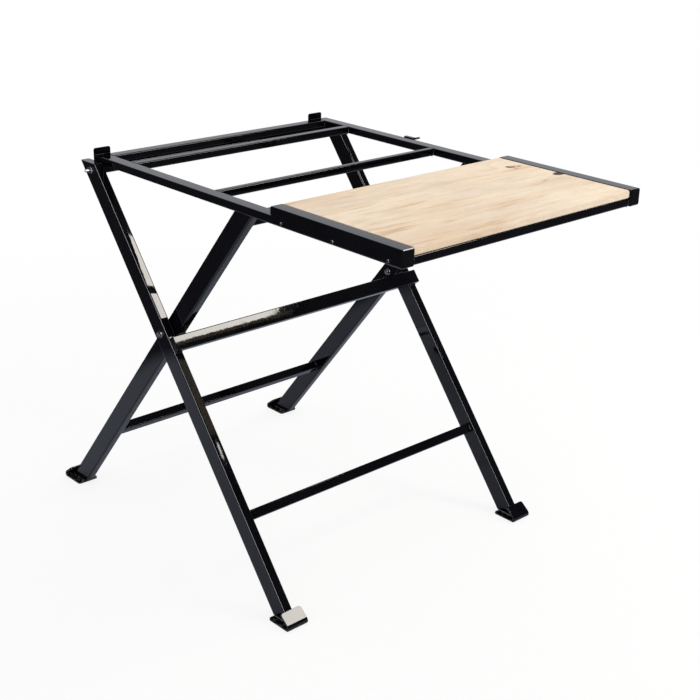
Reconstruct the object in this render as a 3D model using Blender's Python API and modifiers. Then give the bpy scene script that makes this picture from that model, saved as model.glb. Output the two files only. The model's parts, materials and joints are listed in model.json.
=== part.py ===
"""Folding tile saw stand: a flat top frame with a work board, carried on crossed tube legs.

Metres, +Z up. X runs from the hinged rear end to the board end, the near side is -Y, and the
origin lies on the floor in the middle of the stand.
"""

import math

import bmesh
import bpy
from mathutils import Matrix, Vector

MM = 0.001

# Fits
GAP = 0.3 * MM                  # between pieces that touch
BOLT_CLEARANCE = 0.3 * MM       # around a shank, on the radius
PLUG_CLEARANCE = 0.3 * MM       # around a plug's insert

# Top frame
DECK_HEIGHT = 735 * MM          # rail tops above the floor
DECK_WIDTH = 587 * MM           # over the rails' outer faces
RAIL_LENGTH = 820 * MM
RAIL_WIDTH = 27 * MM
RAIL_HEIGHT = 14.5 * MM
RAIL_CORNER = 2.8 * MM
TUBE_WALL = 1.5 * MM
REAR_TUBE_WIDTH = 25 * MM
SECOND_BAR_WIDTH = 18 * MM
SECOND_BAR_STATION = 92 * MM    # from the rails' rear ends to the bar's middle
MIDDLE_BAR_WIDTH = 14 * MM
MIDDLE_BAR_STATION = 342 * MM
BEARER_WIDTH = 18 * MM
BEARER_INSET = 3 * MM           # ahead of the board's rear edge
FRONT_BAR_WIDTH = 18 * MM
FRONT_BAR_SETBACK = 1 * MM      # behind the rails' front ends

# Hinge tube and its studs
HINGE_SETBACK = 15.5 * MM       # hinge axis ahead of the rails' rear ends
HINGE_TUBE_WIDTH = 24 * MM
HINGE_TUBE_HEIGHT = 15 * MM
HINGE_PLUG_DEPTH = 30 * MM
HINGE_COLLAR_DIAMETER = 14 * MM  # spaces the outer leg from the hinge tube
HINGE_STUD_GRIP = 26 * MM       # length of stud inside the hinge tube
HINGE_STUD_PROUD = 6 * MM       # stud beyond its nut

# Upright end plates at the rear
END_PLATE_WIDTH = 36 * MM
END_PLATE_THICKNESS = 3 * MM
END_PLATE_RISE = 13.1 * MM      # above the rail tops
END_PLATE_CORNER = 4 * MM
END_PLATE_NEAR_OVERHANG = 0.5 * MM  # beyond the near rail's outer face
END_PLATE_FAR_INSET = 14.5 * MM  # inside the far rail's outer face

# Work board, edge trims and what carries them
BOARD_LENGTH = 301 * MM
BOARD_THICKNESS = 14.6 * MM
BOARD_SETBACK = 0.5 * MM        # behind the rails' front ends
BOARD_SIDE_GAP = 1 * MM         # to the trims' inner faces
BOARD_ROUND = 4 * MM
BOARD_EASE = 1 * MM
TRIM_HEIGHT = 15 * MM
LEDGER_WIDTH = 12 * MM
SCREW_COUNT = 3
SCREW_INSET = 7 * MM            # first and last screw from the ledger's ends
SCREW_DIAMETER = 3.5 * MM
SCREW_HEAD_DIAMETER = 6.5 * MM
SCREW_HEAD_HEIGHT = 1.8 * MM
SCREW_TIP_GAP = 2 * MM          # from the tip to the ledger's inner face

# Plugs in open tube ends
PLUG_FLANGE = 1.5 * MM
PLUG_DEPTH = 12 * MM

# Lug and stud on the far rail
LUG_STATION = 251 * MM
LUG_LENGTH = 26 * MM
LUG_REACH = 8 * MM
LUG_HEIGHT = 6 * MM
LUG_LIFT = 2 * MM               # above the rail top
LUG_CORNER = 2 * MM
STUD_LEAD = 10 * MM             # ahead of the lug's middle
STUD_DIAMETER = 4.5 * MM
STUD_LENGTH = 13 * MM

# Legs
LEG_ANGLE = math.radians(51.6)  # to the floor
LEG_WIDTH = 38 * MM
LEG_THICKNESS = 18.5 * MM
LEG_CORNER = 3.2 * MM
LEG_PLAY = 1.5 * MM             # outer legs to the rails' outer faces
INNER_LEG_INSET = 2 * MM        # inner legs' outer faces inside the rails' outer faces
PIVOT_REACH = 340.6 * MM        # from the hinge axis down the outer leg to the crossing
OUTER_LEG_RISE = 13.5 * MM      # top of the outer leg's plug above the hinge axis

# Cross bars of the leg frames
STOP_BAR_WIDTH = 28 * MM        # along the leg
STOP_BAR_THICKNESS = 14.5 * MM
STOP_BAR_CLEARANCE = 2.9 * MM   # upper edge to the inner legs, at the outer legs' face
STOP_PAD_DEPTH = 5 * MM         # across the stop bar's upper face
STOP_PAD_WIDTH = 10 * MM
LOWER_BAR_SIZE = 18.5 * MM
LOWER_BAR_DROP = 371 * MM       # middle below the crossing, along the leg
TOP_BAR_SIZE = 20 * MM
TOP_BAR_LEAD = 6 * MM           # ahead of the inner legs' middle line
TOP_BAR_DROP = 3 * MM           # below the rails, which rest on the legs' ends
BAR_CORNER = 2 * MM

# Feet
FOOT_WIDTH = 46 * MM
FOOT_LENGTH = 55.5 * MM
FOOT_THICKNESS = 4 * MM
FOOT_TOE = 8.7 * MM             # ahead of the leg's face at the floor
FOOT_TOE_HEIGHT = 4.2 * MM      # upright toe above the sole, inside
FOOT_FLANGE_HEIGHT = 24.5 * MM  # upper edge of the flange, inside
FOOT_STANDOFF = 3.3 * MM        # flange's upper edge ahead of the leg's face
FOOT_FOLD = 1.5 * MM            # inner radius between sole and toe
FOOT_CREASE = 5 * MM            # inner radius between toe and flange

# Flange bolts, flange nuts and spacers
BOLT_DIAMETER = 6 * MM
BOLT_HEAD_ACROSS = 10 * MM
BOLT_HEAD_HEIGHT = 4 * MM
BOLT_TIP_CHAMFER = 1 * MM
FLANGE_DIAMETER = 13.5 * MM
FLANGE_THICKNESS = 1.2 * MM
NUT_HEIGHT = 5.5 * MM
BOLT_PROUD = 2.5 * MM           # shank beyond the nut
SPACER_DIAMETER = 16 * MM

# Facets
CORNER_STEPS = 3
ROUND_STEPS = 20
WELD = 0.00001
SMOOTH_ANGLE = math.radians(40)

X = Vector((1, 0, 0))
Y = Vector((0, 1, 0))
Z = Vector((0, 0, 1))
SIDES = {"near": -1, "far": 1}
OUTER_LEAN = -1                 # top leans to the rear
INNER_LEAN = 1                  # top leans to the front

# Finishes: colour, roughness, metallic
PAINT = ((0.012, 0.012, 0.015, 1), 0.25, 0.0)
ZINC = ((0.56, 0.56, 0.57, 1), 0.35, 1.0)
WOOD = ((0.60, 0.43, 0.27, 1), 0.55, 0.0)
PLASTIC = ((0.02, 0.02, 0.022, 1), 0.4, 0.0)
RUBBER = ((0.015, 0.015, 0.015, 1), 0.8, 0.0)

# Heights and distances across the stand
rail_bottom = DECK_HEIGHT - RAIL_HEIGHT
rail_middle = DECK_HEIGHT - RAIL_HEIGHT / 2
rail_outer = DECK_WIDTH / 2
rail_inner = rail_outer - RAIL_WIDTH
outer_leg_inner = rail_outer + LEG_PLAY
outer_leg_middle = outer_leg_inner + LEG_THICKNESS / 2
outer_leg_outer = outer_leg_inner + LEG_THICKNESS
inner_leg_outer = rail_outer - INNER_LEG_INSET
inner_leg_middle = inner_leg_outer - LEG_THICKNESS / 2
inner_leg_inner = inner_leg_outer - LEG_THICKNESS

# Places along the stand
leg_cos = math.cos(LEG_ANGLE)
leg_sin = math.sin(LEG_ANGLE)
leg_tan = math.tan(LEG_ANGLE)
half_footprint = LEG_WIDTH / 2 / leg_sin
hinge_z = rail_bottom - GAP - HINGE_TUBE_HEIGHT / 2
pivot_z = hinge_z - PIVOT_REACH * leg_sin
pivot_station = HINGE_SETBACK + PIVOT_REACH * leg_cos
foot_nose = half_footprint + FOOT_TOE
rear_station = pivot_station - pivot_z / leg_tan - foot_nose
front_station = RAIL_LENGTH + GAP + PLUG_FLANGE
rail_rear = -(rear_station + front_station) / 2
rail_front = rail_rear + RAIL_LENGTH
hinge_x = rail_rear + HINGE_SETBACK
pivot_x = rail_rear + pivot_station
board_front = rail_front - BOARD_SETBACK
board_rear = board_front - BOARD_LENGTH
bearer_rear = board_rear + BEARER_INSET
front_bar_front = rail_front - FRONT_BAR_SETBACK
ledger_rear = bearer_rear + BEARER_WIDTH + GAP
ledger_front = front_bar_front - FRONT_BAR_WIDTH - GAP
leg_bottom = FOOT_THICKNESS + GAP
outer_leg_top = hinge_z + OUTER_LEG_RISE - PLUG_FLANGE - GAP
bore_radius = BOLT_DIAMETER / 2 + BOLT_CLEARANCE


def clear_scene():
    for obj in list(bpy.data.objects):
        bpy.data.objects.remove(obj)


def add_collection(name):
    collection = bpy.data.collections.new(name)
    bpy.context.scene.collection.children.link(collection)
    return collection


def frame(origin, x_axis, z_axis):
    """Placement with the given origin and local X and Z directions."""
    basis = Matrix((x_axis, z_axis.cross(x_axis), z_axis)).transposed()
    return Matrix.Translation(origin) @ basis.to_4x4()


def along_x(x, y, z):
    """Length along X, width along Y, height along Z."""
    return frame(Vector((x, y, z)), Y, X)


def along_y(x, y, z):
    """Length along Y, width along X, height along Z."""
    return frame(Vector((x, y, z)), X, Y)


def outward(sign, x, y, z):
    """Axis of a fastener that points out of the side of the stand."""
    return frame(Vector((x, sign * y, z)), X, sign * Y)


def leg_up(lean):
    return Vector((lean * leg_cos, 0, leg_sin))


def leg_across(lean):
    """Square to a leg, toward the board end."""
    return Vector((leg_sin, 0, -lean * leg_cos))


def leg_frame(lean, y):
    """Origin on the crossing axis, X across the leg, Z up the leg."""
    return frame(Vector((pivot_x, y, pivot_z)), leg_across(lean), leg_up(lean))


def leg_bar_frame(lean, across, down):
    """A bar along Y, set off from the crossing across a leg and down it."""
    origin = Vector((pivot_x, 0, pivot_z)) + across * leg_across(lean) - down * leg_up(lean)
    return frame(origin, leg_across(lean), Y)


def rectangle(width, height):
    return [(-width / 2, -height / 2), (width / 2, -height / 2),
            (width / 2, height / 2), (-width / 2, height / 2)]


def arc(centre, radius, start, end, steps):
    """Points on an arc, both ends included; angles in radians."""
    angles = [start + (end - start) * step / steps for step in range(steps + 1)]
    return [(centre[0] + radius * math.cos(a), centre[1] + radius * math.sin(a)) for a in angles]


def rounded_rectangle(width, height, radii):
    """Rectangle with one radius per corner, from lower left round to upper left."""
    points = []
    for index, ((u, v), radius) in enumerate(zip(rectangle(width, height), radii)):
        centre = (u - math.copysign(radius, u), v - math.copysign(radius, v))
        start = math.pi + index * math.pi / 2
        points += arc(centre, radius, start, start + math.pi / 2, CORNER_STEPS)
    return points


def circle(radius):
    return arc((0, 0), radius, 0, 2 * math.pi, ROUND_STEPS)[:-1]


def hexagon(across_flats):
    return arc((0, 0), across_flats / math.sqrt(3), 0, 2 * math.pi, 6)[:-1]


def folded(points, radii):
    """A bent line with an arc of its own radius in place of each inner corner."""
    line = [Vector(point) for point in points]
    result = [line[0]]
    for before, corner, after, radius in zip(line, line[1:], line[2:], radii):
        arrive = (corner - before).normalized()
        leave = (after - corner).normalized()
        turn = math.atan2(arrive.x * leave.y - arrive.y * leave.x, arrive.dot(leave))
        start = corner - arrive * radius * math.tan(abs(turn) / 2)
        side = math.copysign(1, turn)
        centre = start + side * radius * Vector((-arrive.y, arrive.x))
        first = math.atan2(*reversed(start - centre))
        bend = arc(centre, radius, first, first + turn, CORNER_STEPS)
        result += [Vector(point) for point in bend]
    return result + [line[-1]]


def thickened(line, thickness):
    """Closed outline of a bent line with its thickness on its right side."""
    steps = [(b - a).normalized() for a, b in zip(line, line[1:])]
    outline = list(line)
    for index in reversed(range(len(line))):
        arrive = steps[max(index - 1, 0)]
        leave = steps[min(index, len(steps) - 1)]
        middle = (arrive + leave).normalized()
        right = Vector((middle.y, -middle.x))
        outline.append(line[index] + right * thickness / middle.dot(leave))
    return outline


def baked(obj):
    """The mesh of a helper object with its modifiers applied; the object is removed."""
    bpy.context.scene.collection.objects.link(obj)
    depsgraph = bpy.context.evaluated_depsgraph_get()
    mesh = bpy.data.meshes.new_from_object(obj.evaluated_get(depsgraph))
    bpy.data.objects.remove(obj)
    return mesh


def prism(depth, *loops):
    """A flat outline, with any holes, given a depth along Z about its middle."""
    curve = bpy.data.curves.new("outline", "CURVE")
    curve.dimensions = "2D"
    curve.fill_mode = "BOTH"
    curve.extrude = depth / 2
    for loop in loops:
        spline = curve.splines.new("POLY")
        spline.points.add(len(loop) - 1)
        spline.use_cyclic_u = True
        for point, (u, v) in zip(spline.points, loop):
            point.co = (u, v, 0, 1)
    mesh = baked(bpy.data.objects.new("outline", curve))
    build = bmesh.new()
    build.from_mesh(mesh)
    bmesh.ops.remove_doubles(build, verts=build.verts, dist=WELD)
    bmesh.ops.recalc_face_normals(build, faces=build.faces)
    build.to_mesh(mesh)
    build.free()
    return mesh


def tube(width, height, corner, length):
    """A rectangular tube with rounded edges, open at both ends."""
    outer = rounded_rectangle(width, height, [corner] * 4)
    inner = rectangle(width - 2 * TUBE_WALL, height - 2 * TUBE_WALL)
    return prism(length, outer, inner)


def placed(mesh, matrix):
    mesh.transform(matrix)
    return mesh


def union(first, second):
    """Two overlapping meshes joined into one body."""
    base = bpy.data.objects.new("base", first)
    tool = bpy.data.objects.new("tool", second)
    bpy.context.scene.collection.objects.link(tool)
    modifier = base.modifiers.new("union", "BOOLEAN")
    modifier.operation = "UNION"
    modifier.object = tool
    mesh = baked(base)
    bpy.data.objects.remove(tool)
    return mesh


def column(bottom, top, *loops):
    """A prism between two heights."""
    return placed(prism(top - bottom, *loops), Matrix.Translation(Z * (bottom + top) / 2))


def inside_tube(size):
    """What is left of a tube's outer size for a plug's insert."""
    return size - 2 * (TUBE_WALL + PLUG_CLEARANCE)


def insert(width, height):
    """The part of an end plug that lies in its tube, up into the middle of its cover."""
    outline = rectangle(inside_tube(width), inside_tube(height))
    return column(-PLUG_DEPTH, GAP + PLUG_FLANGE / 2, outline)


def plug(width, height, corner):
    """End plug of a tube: its cover lies outside, along +Z, and its insert inside."""
    cover = column(GAP, GAP + PLUG_FLANGE, rounded_rectangle(width, height, [corner] * 4))
    return union(cover, insert(width, height))


def turned(profile):
    """A solid turned about Z; the profile runs from top to bottom, (radius, height)."""
    build = bmesh.new()
    points = [build.verts.new((radius, 0, height)) for radius, height in profile]
    for first, second in zip(points, points[1:]):
        build.edges.new((first, second))
    mesh = bpy.data.meshes.new("profile")
    build.to_mesh(mesh)
    build.free()
    holder = bpy.data.objects.new("profile", mesh)
    modifier = holder.modifiers.new("turn", "SCREW")
    modifier.steps = ROUND_STEPS
    modifier.render_steps = ROUND_STEPS
    modifier.use_merge_vertices = True
    modifier.merge_threshold = WELD
    return baked(holder)


def bolt(length):
    """Flange bolt along Z: flange and head above the origin, shank below it."""
    flange = FLANGE_DIAMETER / 2
    shank = BOLT_DIAMETER / 2
    body = turned([(0, FLANGE_THICKNESS), (flange, FLANGE_THICKNESS), (flange, 0), (shank, 0),
                   (shank, BOLT_TIP_CHAMFER - length), (shank - BOLT_TIP_CHAMFER, -length),
                   (0, -length)])
    head = column(FLANGE_THICKNESS / 2, FLANGE_THICKNESS + BOLT_HEAD_HEIGHT, hexagon(BOLT_HEAD_ACROSS))
    return union(body, head)


def stud(inside, outside):
    """Plain stud along Z, chamfered at both ends, with its lengths below and above the origin."""
    shank = BOLT_DIAMETER / 2
    tip = shank - BOLT_TIP_CHAMFER
    return turned([(0, outside), (tip, outside), (shank, outside - BOLT_TIP_CHAMFER),
                   (shank, BOLT_TIP_CHAMFER - inside), (tip, -inside), (0, -inside)])


def flange_nut():
    """Flange nut along Z, its flange at the origin and not yet bored."""
    flange = column(0, FLANGE_THICKNESS, circle(FLANGE_DIAMETER / 2))
    return union(flange, column(FLANGE_THICKNESS / 2, NUT_HEIGHT, hexagon(BOLT_HEAD_ACROSS)))


def leg_solid(mesh, lean, bottom, top):
    """Slides the ends of a leg section along the leg to level cuts at two heights."""
    up = leg_up(lean)
    across = leg_across(lean)
    for vertex in mesh.vertices:
        level = top if vertex.co.z > 0 else bottom
        vertex.co.z = (level - pivot_z - vertex.co.x * across.z) / up.z
    return mesh


def node(name, finish, mesh, matrix, parent=None):
    """A named sub-part with its own material, carried by its joint's axis."""
    colour, roughness, metallic = finish
    material = bpy.data.materials.new(name)
    material.use_nodes = True
    shader = material.node_tree.nodes["Principled BSDF"]
    shader.inputs["Base Color"].default_value = colour
    shader.inputs["Roughness"].default_value = roughness
    shader.inputs["Metallic"].default_value = metallic
    material.diffuse_color = colour
    mesh.materials.clear()
    mesh.materials.append(material)
    mesh.shade_smooth()
    mesh.set_sharp_from_angle(angle=SMOOTH_ANGLE)
    obj = bpy.data.objects.new(name, mesh)
    parts.objects.link(obj)
    if parent:
        obj.parent = parent
        obj.matrix_parent_inverse = parent.matrix_world.inverted()
    obj.matrix_basis = matrix
    return obj


def axis_empty(name, x, z):
    """Empty on a joint's axis, which runs along Y."""
    empty = bpy.data.objects.new(name, None)
    parts.objects.link(empty)
    empty.location = (x, 0, z)
    bpy.context.view_layer.update()
    return empty


def bore_cutter(name, diameter, stations, z):
    """Rods across the whole stand that cut bores."""
    reach = 2 * (outer_leg_outer + LEG_THICKNESS)
    build = bmesh.new()
    for x in stations:
        build.from_mesh(placed(prism(reach, circle(diameter / 2 + BOLT_CLEARANCE)), along_y(x, 0, z)))
    mesh = bpy.data.meshes.new(name)
    build.to_mesh(mesh)
    build.free()
    cutter = bpy.data.objects.new(name, mesh)
    cutters.objects.link(cutter)
    cutter.hide_render = True
    cutter.display_type = "WIRE"
    return cutter


def drill(obj, cutter):
    modifier = obj.modifiers.new(cutter.name, "BOOLEAN")
    modifier.operation = "DIFFERENCE"
    modifier.object = cutter


def side_rails():
    for side, sign in SIDES.items():
        mesh = tube(RAIL_WIDTH, RAIL_HEIGHT, RAIL_CORNER, RAIL_LENGTH)
        place = along_x((rail_rear + rail_front) / 2, sign * (rail_outer - RAIL_WIDTH / 2), rail_middle)
        rail = node(f"side_rail_{side}", PAINT, mesh, place, top_axis)
        drill(rail, screw_bores)


def front_caps():
    """One cap over the front ends of each rail and the trim above it."""
    rise = RAIL_HEIGHT + GAP + TRIM_HEIGHT
    outline = rounded_rectangle(RAIL_WIDTH, rise, [RAIL_CORNER] * 4)
    for side, sign in SIDES.items():
        cover = column(GAP, GAP + PLUG_FLANGE, outline)
        rail_insert = placed(insert(RAIL_WIDTH, RAIL_HEIGHT),
                             Matrix.Translation(Y * (RAIL_HEIGHT - rise) / 2))
        trim_insert = placed(insert(RAIL_WIDTH, TRIM_HEIGHT),
                             Matrix.Translation(Y * (rise - TRIM_HEIGHT) / 2))
        mesh = union(union(cover, rail_insert), trim_insert)
        place = along_x(rail_front, sign * (rail_outer - RAIL_WIDTH / 2), rail_bottom + rise / 2)
        node(f"front_cap_{side}", PLASTIC, mesh, place, top_axis)


def rail_rear_plug():
    """Plain plug, flush with the open part of the far rail's rear end."""
    mesh = prism(PLUG_DEPTH, rectangle(inside_tube(RAIL_WIDTH), inside_tube(RAIL_HEIGHT)))
    place = along_x(rail_rear + PLUG_DEPTH / 2, SIDES["far"] * (rail_outer - RAIL_WIDTH / 2), rail_middle)
    node("rail_rear_plug_far", PLASTIC, mesh, place, top_axis)


def cross_tubes():
    """Tubes between the rails, flush with their tops: name, width, middle."""
    rows = [
        ("rear_cross_tube", REAR_TUBE_WIDTH, rail_rear + REAR_TUBE_WIDTH / 2),
        ("second_crossbar", SECOND_BAR_WIDTH, rail_rear + SECOND_BAR_STATION),
        ("middle_crossbar", MIDDLE_BAR_WIDTH, rail_rear + MIDDLE_BAR_STATION),
        ("board_bearer", BEARER_WIDTH, bearer_rear + BEARER_WIDTH / 2),
        ("front_bar", FRONT_BAR_WIDTH, front_bar_front - FRONT_BAR_WIDTH / 2),
    ]
    for name, width, x in rows:
        mesh = tube(width, RAIL_HEIGHT, RAIL_CORNER, 2 * (rail_inner - GAP))
        node(name, PAINT, mesh, along_y(x, 0, rail_middle), top_axis)


def hinge_tube():
    mesh = tube(HINGE_TUBE_WIDTH, HINGE_TUBE_HEIGHT, BAR_CORNER, DECK_WIDTH)
    node("hinge_tube", PAINT, mesh, along_y(hinge_x, 0, hinge_z), top_axis)
    outline = rectangle(inside_tube(HINGE_TUBE_WIDTH), inside_tube(HINGE_TUBE_HEIGHT))
    for side, sign in SIDES.items():
        collar = column(GAP, LEG_PLAY - GAP, circle(HINGE_COLLAR_DIAMETER / 2))
        block = column(-HINGE_PLUG_DEPTH, LEG_PLAY / 2, outline)
        place = outward(sign, hinge_x, rail_outer, hinge_z)
        hinge_plug = node(f"hinge_plug_{side}", ZINC, union(collar, block), place, top_axis)
        drill(hinge_plug, hinge_bore)


def end_plates():
    edges = {"near": rail_outer + END_PLATE_NEAR_OVERHANG, "far": rail_outer - END_PLATE_FAR_INSET}
    height = RAIL_HEIGHT + END_PLATE_RISE
    radii = [END_PLATE_THICKNESS / 2] * 2 + [END_PLATE_CORNER] * 2
    for side, sign in SIDES.items():
        mesh = prism(END_PLATE_THICKNESS, rounded_rectangle(END_PLATE_WIDTH, height, radii))
        place = along_x(rail_rear - GAP - END_PLATE_THICKNESS / 2,
                        sign * (edges[side] - END_PLATE_WIDTH / 2), rail_bottom + height / 2)
        node(f"end_plate_{side}", PAINT, mesh, place, top_axis)


def edge_trims():
    """A tube on top of each rail, its rear plug level with the board's rear edge."""
    z = DECK_HEIGHT + GAP + TRIM_HEIGHT / 2
    rear = board_rear + PLUG_FLANGE + GAP
    for side, sign in SIDES.items():
        y = sign * (rail_outer - RAIL_WIDTH / 2)
        mesh = tube(RAIL_WIDTH, TRIM_HEIGHT, RAIL_CORNER, rail_front - rear)
        node(f"edge_trim_{side}", PAINT, mesh, along_x((rail_front + rear) / 2, y, z), top_axis)
        place = frame(Vector((rear, y, z)), -Y, -X)
        node(f"trim_plug_{side}", PLASTIC, plug(RAIL_WIDTH, TRIM_HEIGHT, RAIL_CORNER), place, top_axis)


def work_board():
    half_width = rail_inner - BOARD_SIDE_GAP
    radii = [BOARD_EASE, BOARD_ROUND, BOARD_ROUND, BOARD_EASE]
    mesh = prism(2 * half_width, rounded_rectangle(BOARD_LENGTH, BOARD_THICKNESS, radii))
    z = DECK_HEIGHT + GAP + BOARD_THICKNESS / 2
    node("work_board", WOOD, mesh, along_y(board_front - BOARD_LENGTH / 2, 0, z), top_axis)


def board_ledgers():
    middle = rail_inner - GAP - LEDGER_WIDTH / 2
    for side, sign in SIDES.items():
        mesh = prism(ledger_front - ledger_rear, rectangle(LEDGER_WIDTH, RAIL_HEIGHT))
        place = along_x((ledger_rear + ledger_front) / 2, sign * middle, rail_middle)
        ledger = node(f"board_ledger_{side}", PAINT, mesh, place, top_axis)
        drill(ledger, screw_bores)


def board_screws():
    """Pan-head screws through each rail into the ledger behind it."""
    head = SCREW_HEAD_DIAMETER / 2
    shank = SCREW_DIAMETER / 2
    length = RAIL_WIDTH + GAP + GAP + LEDGER_WIDTH - SCREW_TIP_GAP
    profile = [(0, SCREW_HEAD_HEIGHT), (head / 2, SCREW_HEAD_HEIGHT),
               (head, SCREW_HEAD_HEIGHT / 2), (head, 0), (shank, 0),
               (shank, shank - length), (0, -length)]
    for side, sign in SIDES.items():
        for row, x in enumerate(screw_places, start=1):
            place = outward(sign, x, rail_outer + GAP, rail_middle)
            node(f"board_screw_{side}_{row}", ZINC, turned(profile), place, top_axis)


def side_lug():
    outer_edge = rail_outer + GAP + LUG_REACH
    x = rail_rear + LUG_STATION
    z = DECK_HEIGHT + LUG_LIFT - LUG_HEIGHT / 2
    radii = [LUG_CORNER / 2] * 2 + [LUG_CORNER] * 2
    mesh = prism(LUG_HEIGHT, rounded_rectangle(LUG_LENGTH, LUG_REACH, radii))
    place = Matrix.Translation((x, SIDES["far"] * (outer_edge - LUG_REACH / 2), z))
    node("side_lug", PAINT, mesh, place, top_axis)
    stud = prism(STUD_LENGTH, circle(STUD_DIAMETER / 2))
    place = along_y(x + STUD_LEAD, SIDES["far"] * (outer_edge + GAP + STUD_LENGTH / 2), z)
    node("side_lug_stud", ZINC, stud, place, top_axis)


def legs(name, lean, middle, top, cutters_used, parent):
    for side, sign in SIDES.items():
        mesh = leg_solid(tube(LEG_WIDTH, LEG_THICKNESS, LEG_CORNER, 1), lean, leg_bottom, top)
        leg = node(f"{name}_{side}", PAINT, mesh, leg_frame(lean, sign * middle), parent)
        for cutter in cutters_used:
            drill(leg, cutter)


def outer_leg_plugs(top):
    """Level covers on the outer legs' tops, with a stem that ends above the hinge stud."""
    stem_bottom = hinge_z + bore_radius + PLUG_CLEARANCE
    section = rectangle(inside_tube(LEG_WIDTH), inside_tube(LEG_THICKNESS))
    outline = rounded_rectangle(2 * half_footprint, LEG_THICKNESS, [LEG_CORNER] * 4)
    cover_x = pivot_x - (top + GAP - pivot_z) / leg_tan
    for side, sign in SIDES.items():
        stem = leg_solid(prism(1, section), OUTER_LEAN, stem_bottom, top + GAP + PLUG_FLANGE / 2)
        cover = column(top + GAP, top + GAP + PLUG_FLANGE, outline)
        stem.transform(leg_frame(OUTER_LEAN, 0))
        cover.transform(Matrix.Translation(X * cover_x))
        place = Matrix.Translation(Y * sign * outer_leg_middle)
        node(f"outer_leg_plug_{side}", PLASTIC, union(cover, stem), place)


def inner_leg_face(across):
    """How far down the outer leg an inner leg's lower face lies, clear of it by the gap."""
    return (LEG_WIDTH / 2 + GAP + across * math.cos(2 * LEG_ANGLE)) / math.sin(2 * LEG_ANGLE)


def stop_bar(back, drop):
    """A bar across the outer legs, set off from their middle line, its upper edge at the drop."""
    place = leg_bar_frame(OUTER_LEAN, back + STOP_BAR_THICKNESS / 2, drop + STOP_BAR_WIDTH / 2)
    length = 2 * (outer_leg_outer - GAP - PLUG_FLANGE)
    node("stop_bar", PAINT, tube(STOP_BAR_THICKNESS, STOP_BAR_WIDTH, BAR_CORNER, length), place)
    turns = {"near": Matrix.Rotation(math.pi, 4, "X"), "far": Matrix()}
    for side, turn in turns.items():
        end = place @ turn @ Matrix.Translation(Z * length / 2)
        node(f"stop_bar_plug_{side}", PLASTIC, plug(STOP_BAR_THICKNESS, STOP_BAR_WIDTH, BAR_CORNER), end)


def stop_pads(back, drop):
    """Small wedges on the stop bar's upper face that the inner legs' lower faces rest on."""
    rear = back + BAR_CORNER
    front = rear + STOP_PAD_DEPTH
    seat = drop - GAP
    outline = [(rear, inner_leg_face(rear)), (front, inner_leg_face(front)), (front, seat), (rear, seat)]
    for side, sign in SIDES.items():
        place = leg_bar_frame(OUTER_LEAN, 0, 0) @ Matrix.Translation(Z * sign * inner_leg_middle)
        node(f"stop_pad_{side}", RUBBER, prism(STOP_PAD_WIDTH, outline), place)


def lower_bars():
    rows = [("outer_lower_bar", OUTER_LEAN, outer_leg_inner, None),
            ("inner_lower_bar", INNER_LEAN, inner_leg_inner, inner_axis)]
    for name, lean, reach, parent in rows:
        mesh = tube(LOWER_BAR_SIZE, LOWER_BAR_SIZE, BAR_CORNER, 2 * (reach - GAP))
        node(name, PAINT, mesh, leg_bar_frame(lean, 0, LOWER_BAR_DROP), parent)


def inner_top_bar():
    z = rail_bottom - TOP_BAR_DROP - TOP_BAR_SIZE / 2
    x = pivot_x + (z - pivot_z) / leg_tan + TOP_BAR_LEAD
    mesh = tube(TOP_BAR_SIZE, TOP_BAR_SIZE, BAR_CORNER, 2 * (inner_leg_inner - GAP))
    node("inner_top_bar", PAINT, mesh, along_y(x, 0, z), inner_axis)


def foot_outline():
    """Bent shoe seen from the side: heel, upright toe, and a flange that leans back to the leg."""
    toe = foot_nose - FOOT_THICKNESS
    flange_edge = half_footprint - FOOT_FLANGE_HEIGHT / leg_tan + FOOT_STANDOFF
    inside = [(foot_nose - FOOT_LENGTH, FOOT_THICKNESS), (toe, FOOT_THICKNESS),
              (toe, FOOT_THICKNESS + FOOT_TOE_HEIGHT), (flange_edge, FOOT_FLANGE_HEIGHT)]
    return thickened(folded(inside, (FOOT_FOLD, FOOT_CREASE)), FOOT_THICKNESS)


def feet():
    """One shoe under each leg, toe pointing away from the middle of the stand."""
    rows = [("outer_foot", OUTER_LEAN, outer_leg_middle, None),
            ("inner_foot", INNER_LEAN, inner_leg_middle, inner_axis)]
    for name, lean, middle, parent in rows:
        toe_way = -lean * X
        heel_x = pivot_x - lean * pivot_z / leg_tan
        for side, sign in SIDES.items():
            mesh = prism(FOOT_WIDTH, foot_outline())
            place = frame(Vector((heel_x, sign * middle, 0)), toe_way, toe_way.cross(Z))
            node(f"{name}_{side}", PAINT, mesh, place, parent)


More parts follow.
